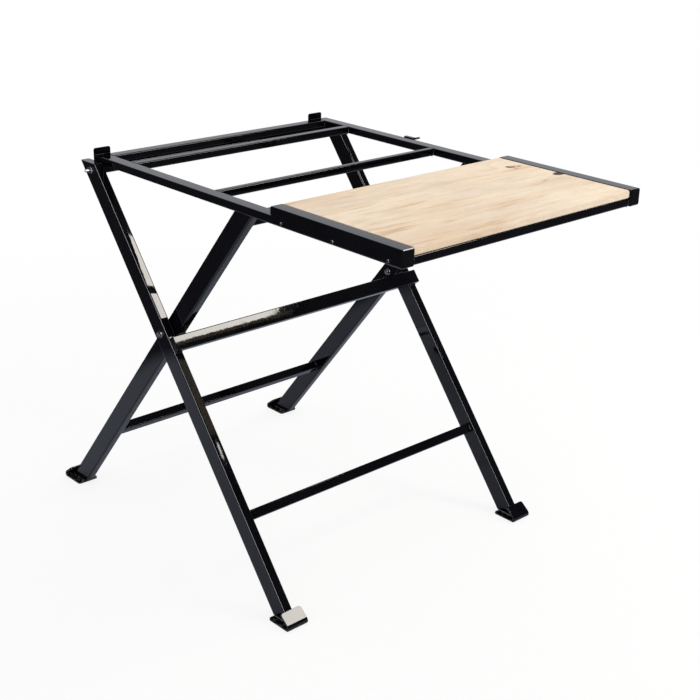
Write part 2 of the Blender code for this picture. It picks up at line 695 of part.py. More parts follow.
def fasteners():
    """Studs and nuts on the hinge axis; bolts, spacers and nuts on the leg crossing."""
    under_head = outer_leg_outer + GAP
    stud_inside = under_head - rail_outer + HINGE_STUD_GRIP
    nut_seat = inner_leg_inner - GAP
    pivot_length = under_head - nut_seat + NUT_HEIGHT + BOLT_PROUD
    spacer_length = outer_leg_inner - inner_leg_outer - 2 * GAP
    spacer_middle = (outer_leg_inner + inner_leg_outer) / 2
    for side, sign in SIDES.items():
        place = outward(sign, hinge_x, under_head, hinge_z)
        mesh = stud(stud_inside, NUT_HEIGHT + HINGE_STUD_PROUD)
        node(f"hinge_stud_{side}", ZINC, mesh, place, top_axis)
        nut = node(f"hinge_nut_{side}", ZINC, flange_nut(), place, top_axis)
        drill(nut, hinge_bore)
        place = outward(sign, pivot_x, under_head, pivot_z)
        node(f"pivot_bolt_{side}", ZINC, bolt(pivot_length), place)
        mesh = prism(spacer_length, circle(SPACER_DIAMETER / 2), circle(bore_radius))
        node(f"pivot_spacer_{side}", ZINC, mesh, outward(sign, pivot_x, spacer_middle, pivot_z))
        place = frame(Vector((pivot_x, sign * nut_seat, pivot_z)), X, -sign * Y)
        nut = node(f"pivot_nut_{side}", ZINC, flange_nut(), place)
        drill(nut, pivot_bore)


clear_scene()
parts = add_collection("tile_saw_stand")
cutters = add_collection("cutters")
top_axis = axis_empty("top_frame_axis", hinge_x, hinge_z)
inner_axis = axis_empty("inner_frame_axis", pivot_x, pivot_z)
screw_pitch = (ledger_front - ledger_rear - 2 * SCREW_INSET) / (SCREW_COUNT - 1)
screw_places = [ledger_rear + SCREW_INSET + screw_pitch * row for row in range(SCREW_COUNT)]
screw_bores = bore_cutter("screw_bores", SCREW_DIAMETER, screw_places, rail_middle)
hinge_bore = bore_cutter("hinge_bore", BOLT_DIAMETER, [hinge_x], hinge_z)
pivot_bore = bore_cutter("pivot_bore", BOLT_DIAMETER, [pivot_x], pivot_z)
stop_back = LEG_WIDTH / 2 + GAP
stop_drop = inner_leg_face(stop_back) + STOP_BAR_CLEARANCE

side_rails()
front_caps()
rail_rear_plug()
cross_tubes()
hinge_tube()
end_plates()
edge_trims()
work_board()
board_ledgers()
board_screws()
side_lug()
legs("outer_leg", OUTER_LEAN, outer_leg_middle, outer_leg_top, [hinge_bore, pivot_bore], None)
legs("inner_leg", INNER_LEAN, inner_leg_middle, rail_bottom - GAP, [pivot_bore], inner_axis)
outer_leg_plugs(outer_leg_top)
stop_bar(stop_back, stop_drop)
stop_pads(stop_back, stop_drop)
lower_bars()
inner_top_bar()
feet()
fasteners()
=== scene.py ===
"""Looks of a folding tile saw stand: gloss black tube, zinc fasteners and a pine work board.

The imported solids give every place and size. Metres, +Z up; the near side is -Y.
"""

import json
import math
from contextlib import contextmanager

import bmesh
import bpy
from mathutils import Matrix, Vector


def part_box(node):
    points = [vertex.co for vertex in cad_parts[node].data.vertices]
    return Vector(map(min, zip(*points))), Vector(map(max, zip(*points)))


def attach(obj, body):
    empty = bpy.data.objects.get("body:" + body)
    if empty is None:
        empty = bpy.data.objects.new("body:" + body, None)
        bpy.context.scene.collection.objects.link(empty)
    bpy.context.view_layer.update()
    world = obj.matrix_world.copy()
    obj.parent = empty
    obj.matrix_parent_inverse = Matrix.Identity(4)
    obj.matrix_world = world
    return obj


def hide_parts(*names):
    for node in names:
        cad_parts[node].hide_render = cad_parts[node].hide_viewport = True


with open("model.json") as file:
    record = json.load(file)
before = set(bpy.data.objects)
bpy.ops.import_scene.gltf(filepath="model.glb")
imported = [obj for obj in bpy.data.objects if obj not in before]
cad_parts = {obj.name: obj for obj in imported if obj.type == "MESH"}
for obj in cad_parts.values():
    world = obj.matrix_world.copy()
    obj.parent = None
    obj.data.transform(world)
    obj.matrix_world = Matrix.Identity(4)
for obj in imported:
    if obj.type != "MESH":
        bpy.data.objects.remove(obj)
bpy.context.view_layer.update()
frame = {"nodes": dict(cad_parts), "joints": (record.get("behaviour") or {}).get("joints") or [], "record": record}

MM = 0.001
X = Vector((1, 0, 0))
Y = Vector((0, 1, 0))
Z = Vector((0, 0, 1))
SIDES = {"near": -1, "far": 1}
NEAR = 0.1 * MM                 # an edge this close to a place is taken to be there
TOUCH = 0.01 * MM               # the same on the small fasteners
PARALLEL = 0.995
FACING = 0.99
SHARP_ANGLE = math.radians(40)
EASE_STEPS = 2
ROUND_STEPS = 6

# Tube stock
TUBE_WALL = 1.5 * MM
HOLLOW_DEPTH = 34 * MM
HOLLOW_TAPER = 0.01 * MM
RAIL_CORNER = 2.8 * MM
BAR_CORNER = 2 * MM
CORNER_STEPS = 4

# Legs and the bars across them
LEG_ANGLE = math.radians(51.6)
LEG_WIDTH = 38 * MM
LEG_THICKNESS = 18.5 * MM
LEG_CORNER = 3.2 * MM
STOP_BAR_WIDTH = 28 * MM
STOP_BAR_THICKNESS = 14.5 * MM
LOWER_BAR_SIZE = 18.5 * MM
OUTER_LEAN = -1
INNER_LEAN = 1

# Feet
FOOT_LENGTH = 55.5 * MM
FOOT_THICKNESS = 4 * MM
FOOT_TOE = 8.7 * MM
FOOT_TOE_HEIGHT = 4.2 * MM
FOOT_FLANGE_HEIGHT = 24.5 * MM
FOOT_STANDOFF = 3.3 * MM
FOOT_FOLD = 1.5 * MM
FOOT_CREASE = 5 * MM
FOOT_CORNER = 5 * MM
FOOT_CORNER_STEPS = 4

# Plates, caps and plugs
PLATE_CORNER = 4 * MM
PLATE_FOOT_CORNER = 1.5 * MM
PLUG_COVER = 1.5 * MM
PLATE_FOOT_STEPS = 3
EDGE_EASE = 0.6 * MM
FINE_EASE = 0.5 * MM
CAP_CHAMFER = 1.3 * MM
PAD_MERGE = 0.02 * MM
PAD_FLAT = math.radians(2)
LUG_CORNER = 2 * MM
LUG_EASE = 0.4 * MM

# Work board
BOARD_ROUND = 4 * MM
BOARD_EASE = 1 * MM
BOARD_EASE_STEPS = 3

# Fasteners
SEAT_GAP = 0.3 * MM             # under heads and nuts
BOLT_DIAMETER = 6 * MM
BOLT_THREAD = 11 * MM
BOLT_SIDES = 24
HEAD_ACROSS = 10 * MM
HEAD_HEIGHT = 4 * MM
HEAD_TURNING = 1 * MM           # taken off the hexagon's upper corners
HEAD_TURNING_SPARE = 0.1 * MM
HEAD_TURNING_SIDES = 48
DISH_INSET = 2 * MM
DISH_EDGE = 0.4 * MM
DISH_DEPTH = 0.3 * MM
NUT_HEIGHT = 5.5 * MM
NUT_CLEARANCE = 0.15 * MM
FLANGE_DIAMETER = 13.5 * MM
FLANGE_THICKNESS = 1.2 * MM
FLANGE_SLOPE = 0.8 * MM
FLANGE_SIDES = 40
THREAD_PITCH = 1 * MM
THREAD_ROOT = 0.86              # share of the radius left between threads
SCREW_HEAD = 6.5 * MM
SCREW_HEAD_HEIGHT = 1.8 * MM
SCREW_DOME = 1.3 * MM
SCREW_RECESS = Vector((3.8, 0.9, 0)) * MM
SCREW_RECESS_DEPTH = 1.1 * MM
SCREW_STEM_RADIUS = 1.75 * MM
SCREW_STEM_LENGTH = 20 * MM
STUD_PITCH = 0.8 * MM
ROUND_SIDES = 32                # screw heads and bores
THIN_SIDES = 16                 # screw stems and the lug's stud
TURNED_STEPS = 3
DOME_STEPS = 5
SHANK_LAP = 0.2 * MM            # a shank reaches this far into its head
CUT_OVERRUN = 1 * MM            # a cutter reaches this far past a face
HEAD_TURN = 0.35                # how heads and nuts happen to be turned, in radians
NUT_TURN = 0.2
SCREW_TURN = 0.5
SCREW_TURN_STEP = 0.8

# Welds
WELD_RADIUS = 1.9 * MM
FOOT_WELD_RADIUS = 2.2 * MM
SMALL_WELD_RADIUS = 1.4 * MM
RIPPLE_PITCH = 2.2 * MM
RIPPLE_ROOT = 0.8
BEAD_TIP = 0.5
BEAD_SIDES = 10
WELD_END = 2.5 * MM             # a seam stops this short of a tube's outer faces
SHORT_WELD_END = 1 * MM
FOOT_WELD_END = 4 * MM
HINGE_WELD_INSET = 3 * MM
PLATE_WELD_REACH = 22 * MM

leg_cos = math.cos(LEG_ANGLE)
leg_sin = math.sin(LEG_ANGLE)
leg_tan = math.tan(LEG_ANGLE)
half_footprint = LEG_WIDTH / 2 / leg_sin
axis_places = {joint["name"]: Vector(joint["pos_m"]) for joint in frame["joints"]}
pivot = axis_places["leg_fold"]
hinge = axis_places["top_lift"]


# Modelling helpers

def hold(*objs):
    """Selects only these objects, the last one active."""
    bpy.ops.object.select_all(action="DESELECT")
    for obj in objs:
        obj.select_set(True)
    bpy.context.view_layer.objects.active = objs[-1]


@contextmanager
def editing(obj):
    hold(obj)
    bpy.ops.object.mode_set(mode="EDIT")
    yield
    bpy.ops.object.mode_set(mode="OBJECT")


def pick(obj, kind, test):
    """In edit mode, selects just the vertices, edges or faces that pass a test."""
    bpy.ops.mesh.select_mode(type=kind)
    bpy.ops.mesh.select_all(action="DESELECT")
    build = bmesh.from_edit_mesh(obj.data)
    items = {"VERT": build.verts, "EDGE": build.edges, "FACE": build.faces}[kind]
    for item in items:
        if test(item):
            item.select_set(True)
    bmesh.update_edit_mesh(obj.data)


def runs(edge, direction):
    span = edge.verts[1].co - edge.verts[0].co
    return abs(span.normalized().dot(direction)) > PARALLEL


def middle(edge):
    return (edge.verts[0].co + edge.verts[1].co) / 2


def folds(edge, degrees):
    return len(edge.link_faces) == 2 and edge.calc_face_angle() > math.radians(degrees)


def bevel(width, steps):
    bpy.ops.mesh.bevel(offset=width, segments=steps, affect="EDGES")


def apply_place(obj):
    hold(obj)
    bpy.ops.object.transform_apply(location=True, rotation=True, scale=True)


def named(obj, name):
    obj.name = name
    obj.data.name = name
    return obj


def block(name, low, high, tilt=0.0):
    """A box between two corners, turned about Y through its own middle."""
    low, high = Vector(low), Vector(high)
    bpy.ops.object.select_all(action="DESELECT")
    bpy.ops.mesh.primitive_cube_add(size=1, location=(low + high) / 2, rotation=(0, tilt, 0),
                                    scale=high - low)
    obj = named(bpy.context.active_object, name)
    apply_place(obj)
    return obj


def rod(name, radius, low, high, sides):
    """A round bar along Z between two heights."""
    bpy.ops.object.select_all(action="DESELECT")
    bpy.ops.mesh.primitive_cylinder_add(vertices=sides, radius=radius, depth=high - low,
                                        location=(0, 0, (low + high) / 2))
    obj = named(bpy.context.active_object, name)
    apply_place(obj)
    return obj


def joined(name, objs):
    hold(*objs)
    if len(objs) > 1:
        bpy.ops.object.join()
    return named(bpy.context.active_object, name)


def copied(obj, name, place):
    """A copy with its own mesh, put in place."""
    twin = obj.copy()
    twin.data = obj.data.copy()
    bpy.context.scene.collection.objects.link(twin)
    twin.matrix_world = place
    apply_place(twin)
    return named(twin, name)


def discard(obj):
    bpy.data.objects.remove(obj)


def cut(obj, tool, operation):
    """Cuts or trims one mesh with another, which is then thrown away."""
    modifier = obj.modifiers.new("cut", "BOOLEAN")
    modifier.operation = operation
    modifier.object = tool
    hold(obj)
    bpy.ops.object.modifier_apply(modifier=modifier.name)
    discard(tool)


def bevel_all(obj, width):
    """Eases every sharp edge of a finished form."""
    modifier = obj.modifiers.new("ease", "BEVEL")
    modifier.width = width
    modifier.segments = EASE_STEPS
    modifier.limit_method = "ANGLE"
    modifier.angle_limit = SHARP_ANGLE
    hold(obj)
    bpy.ops.object.modifier_apply(modifier=modifier.name)


def smooth(obj):
    """Round edges shade smooth and flat faces stay flat."""
    hold(obj)
    bpy.ops.object.shade_smooth_by_angle(angle=SHARP_ANGLE)
    modifier = obj.modifiers.new("flats", "WEIGHTED_NORMAL")
    modifier.keep_sharp = True
    bpy.ops.object.modifier_apply(modifier=modifier.name)


def settle(obj, body, finish, *nodes):
    """Gives a finished piece its finish and its body, and hides the solids it stands for."""
    smooth(obj)
    obj.data.materials.clear()
    obj.data.materials.append(finishes[finish])
    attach(obj, body)
    if nodes:
        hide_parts(*nodes)


def outward(sign, place):
    """Local Z points out of the side of the stand."""
    basis = Matrix((X, (sign * Y).cross(X), sign * Y)).transposed()
    return Matrix.Translation(place) @ basis.to_4x4()


def leg_up(lean):
    return Vector((lean * leg_cos, 0, leg_sin))


def leg_across(lean):
    return Vector((leg_sin, 0, -lean * leg_cos))


def leg_tilt(lean):
    return lean * (math.pi / 2 - LEG_ANGLE)


# Finishes

def add(tree, kind, inputs=None, **settings):
    node = tree.nodes.new(kind)
    for key, value in settings.items():
        setattr(node, key, value)
    for key, value in (inputs or {}).items():
        node.inputs[key].default_value = value
    return node


def math_node(tree, operation, first, second=None, clamp=False):
    """One sum; a number is set on the socket and a socket is linked."""
    node = add(tree, "ShaderNodeMath", operation=operation, use_clamp=clamp)
    for index, value in enumerate((first, second)):
        if value is None:
            continue
        if isinstance(value, (int, float)):
            node.inputs[index].default_value = value
        else:
            tree.links.new(value, node.inputs[index])
    return node.outputs[0]


def times(tree, first, second):
    return math_node(tree, "MULTIPLY", first, second)


def band(tree, value, low, high, start=0.0, end=1.0):
    """Maps a value smoothly from one range to another."""
    node = add(tree, "ShaderNodeMapRange", interpolation_type="SMOOTHSTEP",
               inputs={"From Min": low, "From Max": high, "To Min": start, "To Max": end})
    tree.links.new(value, node.inputs["Value"])
    return node.outputs["Result"]


def mixed(tree, mask, first, second):
    """Blends two colours by a mask; each is a colour or a socket."""
    node = add(tree, "ShaderNodeMix", data_type="RGBA")
    for socket, value in ((node.inputs[0], mask), (node.inputs[6], first), (node.inputs[7], second)):
        if isinstance(value, bpy.types.NodeSocket):
            tree.links.new(value, socket)
        else:
            socket.default_value = value
    return node.outputs[2]


def noise(tree, vector, scale, detail=3.0, roughness=0.5, distortion=0.0):
    node = add(tree, "ShaderNodeTexNoise", inputs={"Scale": scale, "Detail": detail,
                                                   "Roughness": roughness, "Distortion": distortion})
    tree.links.new(vector, node.inputs["Vector"])
    return node.outputs["Fac"]


def stretched(tree, vector, scale, location=(0, 0, 0)):
    node = add(tree, "ShaderNodeMapping", inputs={"Scale": scale, "Location": location})
    tree.links.new(vector, node.inputs["Vector"])
    return node.outputs["Vector"]


def own_place(tree):
    return add(tree, "ShaderNodeTexCoord").outputs["Object"]


def new_group(name, inputs, outputs):
    """A shader node group; inputs are name: default, outputs are names of values."""
    group = bpy.data.node_groups.new(name, "ShaderNodeTree")
    for key, value in inputs.items():
        socket = group.interface.new_socket(key, in_out="INPUT", socket_type="NodeSocketFloat")
        socket.default_value = value
    for key in outputs:
        group.interface.new_socket(key, in_out="OUTPUT", socket_type="NodeSocketFloat")
    entry = group.nodes.new("NodeGroupInput")
    leave = group.nodes.new("NodeGroupOutput")
    return group, entry.outputs, leave.inputs, own_place(group)


def use_group(tree, group, **values):
    node = add(tree, "ShaderNodeGroup", node_tree=group)
    for key, value in values.items():
        node.inputs[key.replace("_", " ")].default_value = value
    return node.outputs


def film_group():
    """Sprayed film: fine orange peel, slow sags, and a mask of thinner and thicker paint."""
    group, given, out, place = new_group("sprayed_film", {"Peel": 1.0, "Sag": 1.0}, ("Height", "Film"))
    peel = noise(group, place, 420, 2)
    sag = noise(group, place, 70, 2, distortion=0.4)
    height = math_node(group, "ADD", times(group, peel, given["Peel"]),
                       times(group, sag, given["Sag"]))
    group.links.new(height, out["Height"])
    group.links.new(band(group, noise(group, place, 11, 4), 0.35, 0.65), out["Film"])
    return group


def handling_group():
    """Dust, smears and fine rubs left by handling."""
    group, given, out, place = new_group("handling_marks", {"Amount": 1.0}, ("Smear", "Dust"))
    smear = band(group, noise(group, stretched(group, place, (9, 26, 9)), 1.6, 5, 0.6), 0.5, 0.72)
    dust = band(group, noise(group, place, 900, 1), 0.66, 0.78)
    drift = band(group, noise(group, place, 7, 3), 0.4, 0.7)
    group.links.new(times(group, smear, given["Amount"]), out["Smear"])
    group.links.new(times(group, times(group, dust, drift), given["Amount"]),
                    out["Dust"])
    return group


def scuff_group():
    """Rubbed patches close to the floor, where paint has gone from the steel."""
    group, given, out, place = new_group("floor_scuffs", {"Reach": 0.006}, ("Bare",))
    split = add(group, "ShaderNodeSeparateXYZ")
    group.links.new(place, split.inputs[0])
    rise = math_node(group, "DIVIDE", split.outputs["Z"], given["Reach"])
    low = math_node(group, "SUBTRACT", 1.0, rise, clamp=True)
    patch = band(group, noise(group, place, 130, 5, 0.65), 0.5, 0.62)
    group.links.new(times(group, low, patch), out["Bare"])
    return group


def new_finish(name):
    material = bpy.data.materials.new(name)
    material.use_nodes = True
    tree = material.node_tree
    shader = tree.nodes["Principled BSDF"]
    return material, tree, shader


def raise_surface(tree, shader, height, strength, depth):
    node = add(tree, "ShaderNodeBump", inputs={"Strength": strength, "Distance": depth})
    tree.links.new(height, node.inputs["Height"])
    tree.links.new(node.outputs["Normal"], shader.inputs["Normal"])


PAINT_DEEP = (0.0010, 0.0010, 0.0016, 1)
PAINT_THIN = (0.0024, 0.0024, 0.0034, 1)
DUST_COLOUR = (0.085, 0.085, 0.09, 1)
BARE_STEEL = (0.16, 0.155, 0.15, 1)
BLACK_SPECULAR = 0.42
SCUFF_REACH = 0.007


def black_paint(name, peel, sag, shine):
    """Gloss black enamel on steel; shine is its smoothest roughness."""
    material, tree, shader = new_finish(name)
    film = use_group(tree, groups["film"], Peel=peel, Sag=sag)
    marks = use_group(tree, groups["handling"], Amount=1.0)
    scuffs = use_group(tree, groups["scuff"], Reach=SCUFF_REACH)
    colour = mixed(tree, film["Film"], PAINT_DEEP, PAINT_THIN)
    colour = mixed(tree, times(tree, marks["Dust"], 0.12), colour, DUST_COLOUR)
    colour = mixed(tree, scuffs["Bare"], colour, BARE_STEEL)
    tree.links.new(colour, shader.inputs["Base Color"])
    rough = math_node(tree, "ADD", band(tree, film["Film"], 0, 1, shine, shine + 0.016),
                      times(tree, marks["Smear"], 0.024))
    rough = math_node(tree, "ADD", rough, times(tree, scuffs["Bare"], 0.3))
    tree.links.new(rough, shader.inputs["Roughness"])
    shader.inputs["Specular IOR Level"].default_value = BLACK_SPECULAR
    raise_surface(tree, shader, film["Height"], 0.35, 0.00012)
    return material


ZINC_BRIGHT = (0.46, 0.46, 0.47, 1)
ZINC_DULL = (0.28, 0.28, 0.275, 1)
SCREW_BRIGHT = (0.17, 0.17, 0.175, 1)
SCREW_DULL = (0.09, 0.09, 0.09, 1)
ZINC_STAIN = (0.30, 0.27, 0.21, 1)


def zinc_plate(name, bright, dull):
    material, tree, shader = new_finish(name)
    place = own_place(tree)
    marks = use_group(tree, groups["handling"], Amount=1.0)
    cloud = band(tree, noise(tree, place, 160, 4), 0.35, 0.7)
    stain = band(tree, noise(tree, place, 55, 3), 0.55, 0.75)
    colour = mixed(tree, cloud, bright, dull)
    colour = mixed(tree, times(tree, stain, 0.35), colour, ZINC_STAIN)
    tree.links.new(colour, shader.inputs["Base Color"])
    rough = math_node(tree, "ADD", band(tree, cloud, 0, 1, 0.24, 0.42),
                      times(tree, marks["Smear"], 0.1))
    tree.links.new(rough, shader.inputs["Roughness"])
    shader.inputs["Metallic"].default_value = 1.0
    raise_surface(tree, shader, noise(tree, place, 1400, 2), 0.2, 0.00005)
    return material


PLASTIC_DEEP = (0.0022, 0.0022, 0.0026, 1)
PLASTIC_WORN = (0.005, 0.005, 0.0054, 1)


def black_plastic():
    """Moulded plugs and caps with a fine grain."""
    material, tree, shader = new_finish("black_plastic")
    place = own_place(tree)
    marks = use_group(tree, groups["handling"], Amount=1.0)
    grain = noise(tree, place, 1100, 2, 0.6)
    colour = mixed(tree, marks["Smear"], PLASTIC_DEEP, PLASTIC_WORN)
    colour = mixed(tree, times(tree, marks["Dust"], 0.15), colour, DUST_COLOUR)
    tree.links.new(colour, shader.inputs["Base Color"])
    tree.links.new(band(tree, grain, 0.3, 0.7, 0.1, 0.18), shader.inputs["Roughness"])
    shader.inputs["Specular IOR Level"].default_value = BLACK_SPECULAR
    raise_surface(tree, shader, grain, 0.12, 0.00006)
    return material


RUBBER_DEEP = (0.014, 0.014, 0.014, 1)
RUBBER_BLOOM = (0.05, 0.05, 0.048, 1)


def soft_rubber():
    material, tree, shader = new_finish("soft_rubber")
    place = own_place(tree)
    bloom = band(tree, noise(tree, place, 90, 5, 0.6), 0.45, 0.75)
    tree.links.new(mixed(tree, bloom, RUBBER_DEEP, RUBBER_BLOOM), shader.inputs["Base Color"])
    tree.links.new(band(tree, bloom, 0, 1, 0.7, 0.9), shader.inputs["Roughness"])
    raise_surface(tree, shader, noise(tree, place, 700, 3), 0.4, 0.0001)
    return material


WOOD_PALE = (0.835, 0.71, 0.565, 1)
WOOD_GREY = (0.735, 0.62, 0.505, 1)
WOOD_WARM = (0.71, 0.51, 0.32, 1)
WOOD_LINE = (0.54, 0.335, 0.175, 1)
KNOT_BROWN = (0.20, 0.085, 0.035, 1)
# painted shade: the near-black put into the chip on the board's far edge
CHIP_SHADE_DARK = (0.035, 0.018, 0.014, 1)
KNOT_PLACE = (0.2483, 0.2238)
KNOT_STREAKS = (((0.2505, 0.232), (0.0042, 0.011)), ((0.2545, 0.2445), (0.0040, 0.012)),
                ((0.2585, 0.2275), (0.0130, 0.0040)))
KNOT_REACH = (0.011, 0.0095)
KNOT_PARTING = (0.05, 0.14)     # how far off the grain still bends round the knot
KNOT_STAIN = ((0.2535, 0.236), (0.022, 0.034))
CHIP = ((0.336, 0.2605), (0.015, 0.024))
MARK = ((0.3525, 0.2015), (0.0042, 0.012))
STAIN = ((0.405, -0.225), (0.055, 0.085))
GRAIN_WANDER = 0.012
GRAIN = {                       # stretch in X, Y and Z, detail and roughness of each layer
    "Patch": ((14, 6, 14), 3, 0.5),
    "Figure": ((26, 3, 26), 4, 0.6),
    "Streaks": ((85, 9, 85), 4, 0.6),
    "Flecks": ((190, 60, 190), 3, 0.6),
    "Fibre": ((900, 16, 900), 2, 0.6),
}
WOOD_SPECULAR = 0.04


def spot(tree, place, centre, reach):
    """1 at a place on the board, falling to 0 at its reach in X and Y."""
    shifted = stretched(tree, place, (1 / reach[0], 1 / reach[1], 0),
                        (-centre[0] / reach[0], -centre[1] / reach[1], 0))
    length = add(tree, "ShaderNodeVectorMath", operation="LENGTH")
    tree.links.new(shifted, length.inputs[0])
    return band(tree, length.outputs["Value"], 0, 1, 1, 0)


def grain_group():
    """Pine grain along Y that parts round a knot: broad patches, streaks, flecks and fine fibre."""
    group, given, out, place = new_group("pine_grain", {"Part": 0.5}, GRAIN)
    near_knot = times(group, spot(group, place, KNOT_PLACE, KNOT_PARTING), given["Part"])
    split = add(group, "ShaderNodeSeparateXYZ")
    group.links.new(place, split.inputs[0])
    offset = math_node(group, "SUBTRACT", split.outputs["X"], KNOT_PLACE[0])
    pulled = times(group, offset, math_node(group, "SUBTRACT", 1.0, near_knot))
    wander = noise(group, stretched(group, place, (6, 4, 6)), 1.0, 2)
    across = math_node(group, "ADD", pulled, times(group, wander, GRAIN_WANDER))
    line = add(group, "ShaderNodeCombineXYZ")
    group.links.new(across, line.inputs["X"])
    group.links.new(split.outputs["Y"], line.inputs["Y"])
    group.links.new(split.outputs["Z"], line.inputs["Z"])
    along = line.outputs[0]
    for name, (scale, detail, roughness) in GRAIN.items():
        group.links.new(noise(group, stretched(group, along, scale), 1.0, detail, roughness), out[name])
    return group


def pine_board():
    material, tree, shader = new_finish("pine_board")
    place = own_place(tree)
    grain = use_group(tree, groups["grain"], Part=0.55)
    patch = band(tree, grain["Patch"], 0.36, 0.66)
    figure = band(tree, grain["Figure"], 0.4, 0.7)
    streaks = band(tree, grain["Streaks"], 0.47, 0.72)
    flecks = band(tree, grain["Flecks"], 0.5, 0.75)
    fibre = band(tree, grain["Fibre"], 0.4, 0.75)
    colour = mixed(tree, times(tree, patch, 0.75), WOOD_PALE, WOOD_GREY)
    colour = mixed(tree, times(tree, figure, 0.5), colour, WOOD_WARM)
    drawn = times(tree, streaks, band(tree, grain["Figure"], 0.36, 0.66, 0.4, 1.0))
    colour = mixed(tree, times(tree, drawn, 0.5), colour, WOOD_LINE)
    colour = mixed(tree, times(tree, flecks, 0.45), colour, WOOD_WARM)
    colour = mixed(tree, times(tree, times(tree, streaks, fibre), 0.25),
                   colour, WOOD_LINE)
    torn = band(tree, noise(tree, place, 260, 3), 0.3, 0.6)
    warmer = times(tree, spot(tree, place, *STAIN),
                       band(tree, grain["Streaks"], 0.38, 0.62))
    colour = mixed(tree, times(tree, warmer, 0.55), colour, WOOD_LINE)
    tails = spot(tree, place, *KNOT_STREAKS[0])
    for row in KNOT_STREAKS[1:]:
        tails = math_node(tree, "MAXIMUM", tails, spot(tree, place, *row))
    core = spot(tree, place, KNOT_PLACE, KNOT_REACH)
    stain = math_node(tree, "MAXIMUM", times(tree, tails, torn),
                      spot(tree, place, *KNOT_STAIN), clamp=True)
    colour = mixed(tree, times(tree, stain, 0.4), colour, WOOD_LINE)
    dark_tails = band(tree, times(tree, tails, band(tree, torn, 0, 1, 0.55, 1.0)), 0.12, 0.62)
    colour = mixed(tree, times(tree, dark_tails, 0.85), colour, KNOT_BROWN)
    mark = times(tree, spot(tree, place, *MARK), torn)
    colour = mixed(tree, times(tree, mark, 0.75), colour, KNOT_BROWN)
    colour = mixed(tree, band(tree, core, 0.1, 0.6, 0.0, 0.95), colour, KNOT_BROWN)
    # the chip is a dent in the bump, painted near-black as painted shade inside it
    chip = band(tree, spot(tree, place, *CHIP), 0.22, 0.5)
    colour = mixed(tree, times(tree, chip, 0.92), colour, CHIP_SHADE_DARK)
    tree.links.new(colour, shader.inputs["Base Color"])
    rough = math_node(tree, "ADD", band(tree, grain["Fibre"], 0.3, 0.7, 0.55, 0.7),
                      times(tree, core, -0.12))
    tree.links.new(rough, shader.inputs["Roughness"])
    shader.inputs["Specular IOR Level"].default_value = WOOD_SPECULAR
    height = math_node(tree, "ADD", grain["Fibre"], times(tree, grain["Streaks"], 0.9))
    height = math_node(tree, "SUBTRACT", height, times(tree, chip, 2.0))
    raise_surface(tree, shader, height, 0.12, 0.0003)
    return material


groups = {"film": film_group(), "handling": handling_group(), "scuff": scuff_group(), "grain": grain_group()}
finishes = {
    "paint": black_paint("gloss_black_paint", 0.12, 1.0, 0.024),
    "weld_paint": black_paint("weld_black_paint", 0.8, 1.6, 0.3),
    "zinc": zinc_plate("zinc_plate", ZINC_BRIGHT, ZINC_DULL),
    "screw": zinc_plate("tarnished_screw", SCREW_BRIGHT, SCREW_DULL),
    "plastic": black_plastic(),
    "rubber": soft_rubber(),
    "pine": pine_board(),
}
slot_finishes = {"black_paint": "paint", "zinc": "zinc", "wood": "pine", "black_plastic": "plastic",
                 "rubber": "rubber"}


def dress_solids():
    """Every carried-over solid takes the finish of its slot."""
    for row in frame["record"]["subparts"]:
        obj = frame["nodes"][row["node"]]
        for slot in obj.material_slots:
            slot.material = finishes[slot_finishes[row["material_slot"]]]


# Tubes

def open_ends(obj, direction):
    """Cuts a hollow into both ends of a square-cut tube."""
    pick(obj, "FACE", lambda face: abs(face.normal.dot(direction)) > FACING)
    bpy.ops.mesh.inset(thickness=TUBE_WALL, depth=0)
    bpy.ops.mesh.inset(thickness=HOLLOW_TAPER, depth=-HOLLOW_DEPTH)


def tube(name, low, high, direction, corner, tilt=0.0):
    """A drawn tube: long edges rounded, both ends open."""
    obj = block(name, low, high, tilt)
    with editing(obj):
        pick(obj, "EDGE", lambda edge: runs(edge, direction))
        bevel(corner, CORNER_STEPS)
        open_ends(obj, direction)
    return obj


def top_frame_tubes():
    for side in SIDES:
        for node in (f"side_rail_{side}", f"edge_trim_{side}"):
            low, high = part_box(node)
            settle(tube(f"{node}_tube", low, high, X, RAIL_CORNER), "top_frame", "paint", node)
    for node in ("rear_cross_tube", "second_crossbar", "middle_crossbar", "board_bearer", "front_bar",
                 "hinge_tube"):
        low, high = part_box(node)
        settle(tube(f"{node}_drawn", low, high, Y, RAIL_CORNER), "top_frame", "paint", node)


def tilted_tube(node, body, lean, width, height):
    low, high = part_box(node)
    centre = (low + high) / 2
    half = Vector((width, high.y - low.y, height)) / 2
    obj = tube(f"{node}_drawn", centre - half, centre + half, Y, BAR_CORNER, leg_tilt(lean))
    settle(obj, body, "paint", node)


def leg_frame_bars():
    tilted_tube("stop_bar", "outer_legs", OUTER_LEAN, STOP_BAR_THICKNESS, STOP_BAR_WIDTH)
    tilted_tube("outer_lower_bar", "outer_legs", OUTER_LEAN, LOWER_BAR_SIZE, LOWER_BAR_SIZE)
    tilted_tube("inner_lower_bar", "inner_legs", INNER_LEAN, LOWER_BAR_SIZE, LOWER_BAR_SIZE)
    low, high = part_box("inner_top_bar")
    settle(tube("inner_top_bar_drawn", low, high, Y, BAR_CORNER), "inner_legs", "paint", "inner_top_bar")


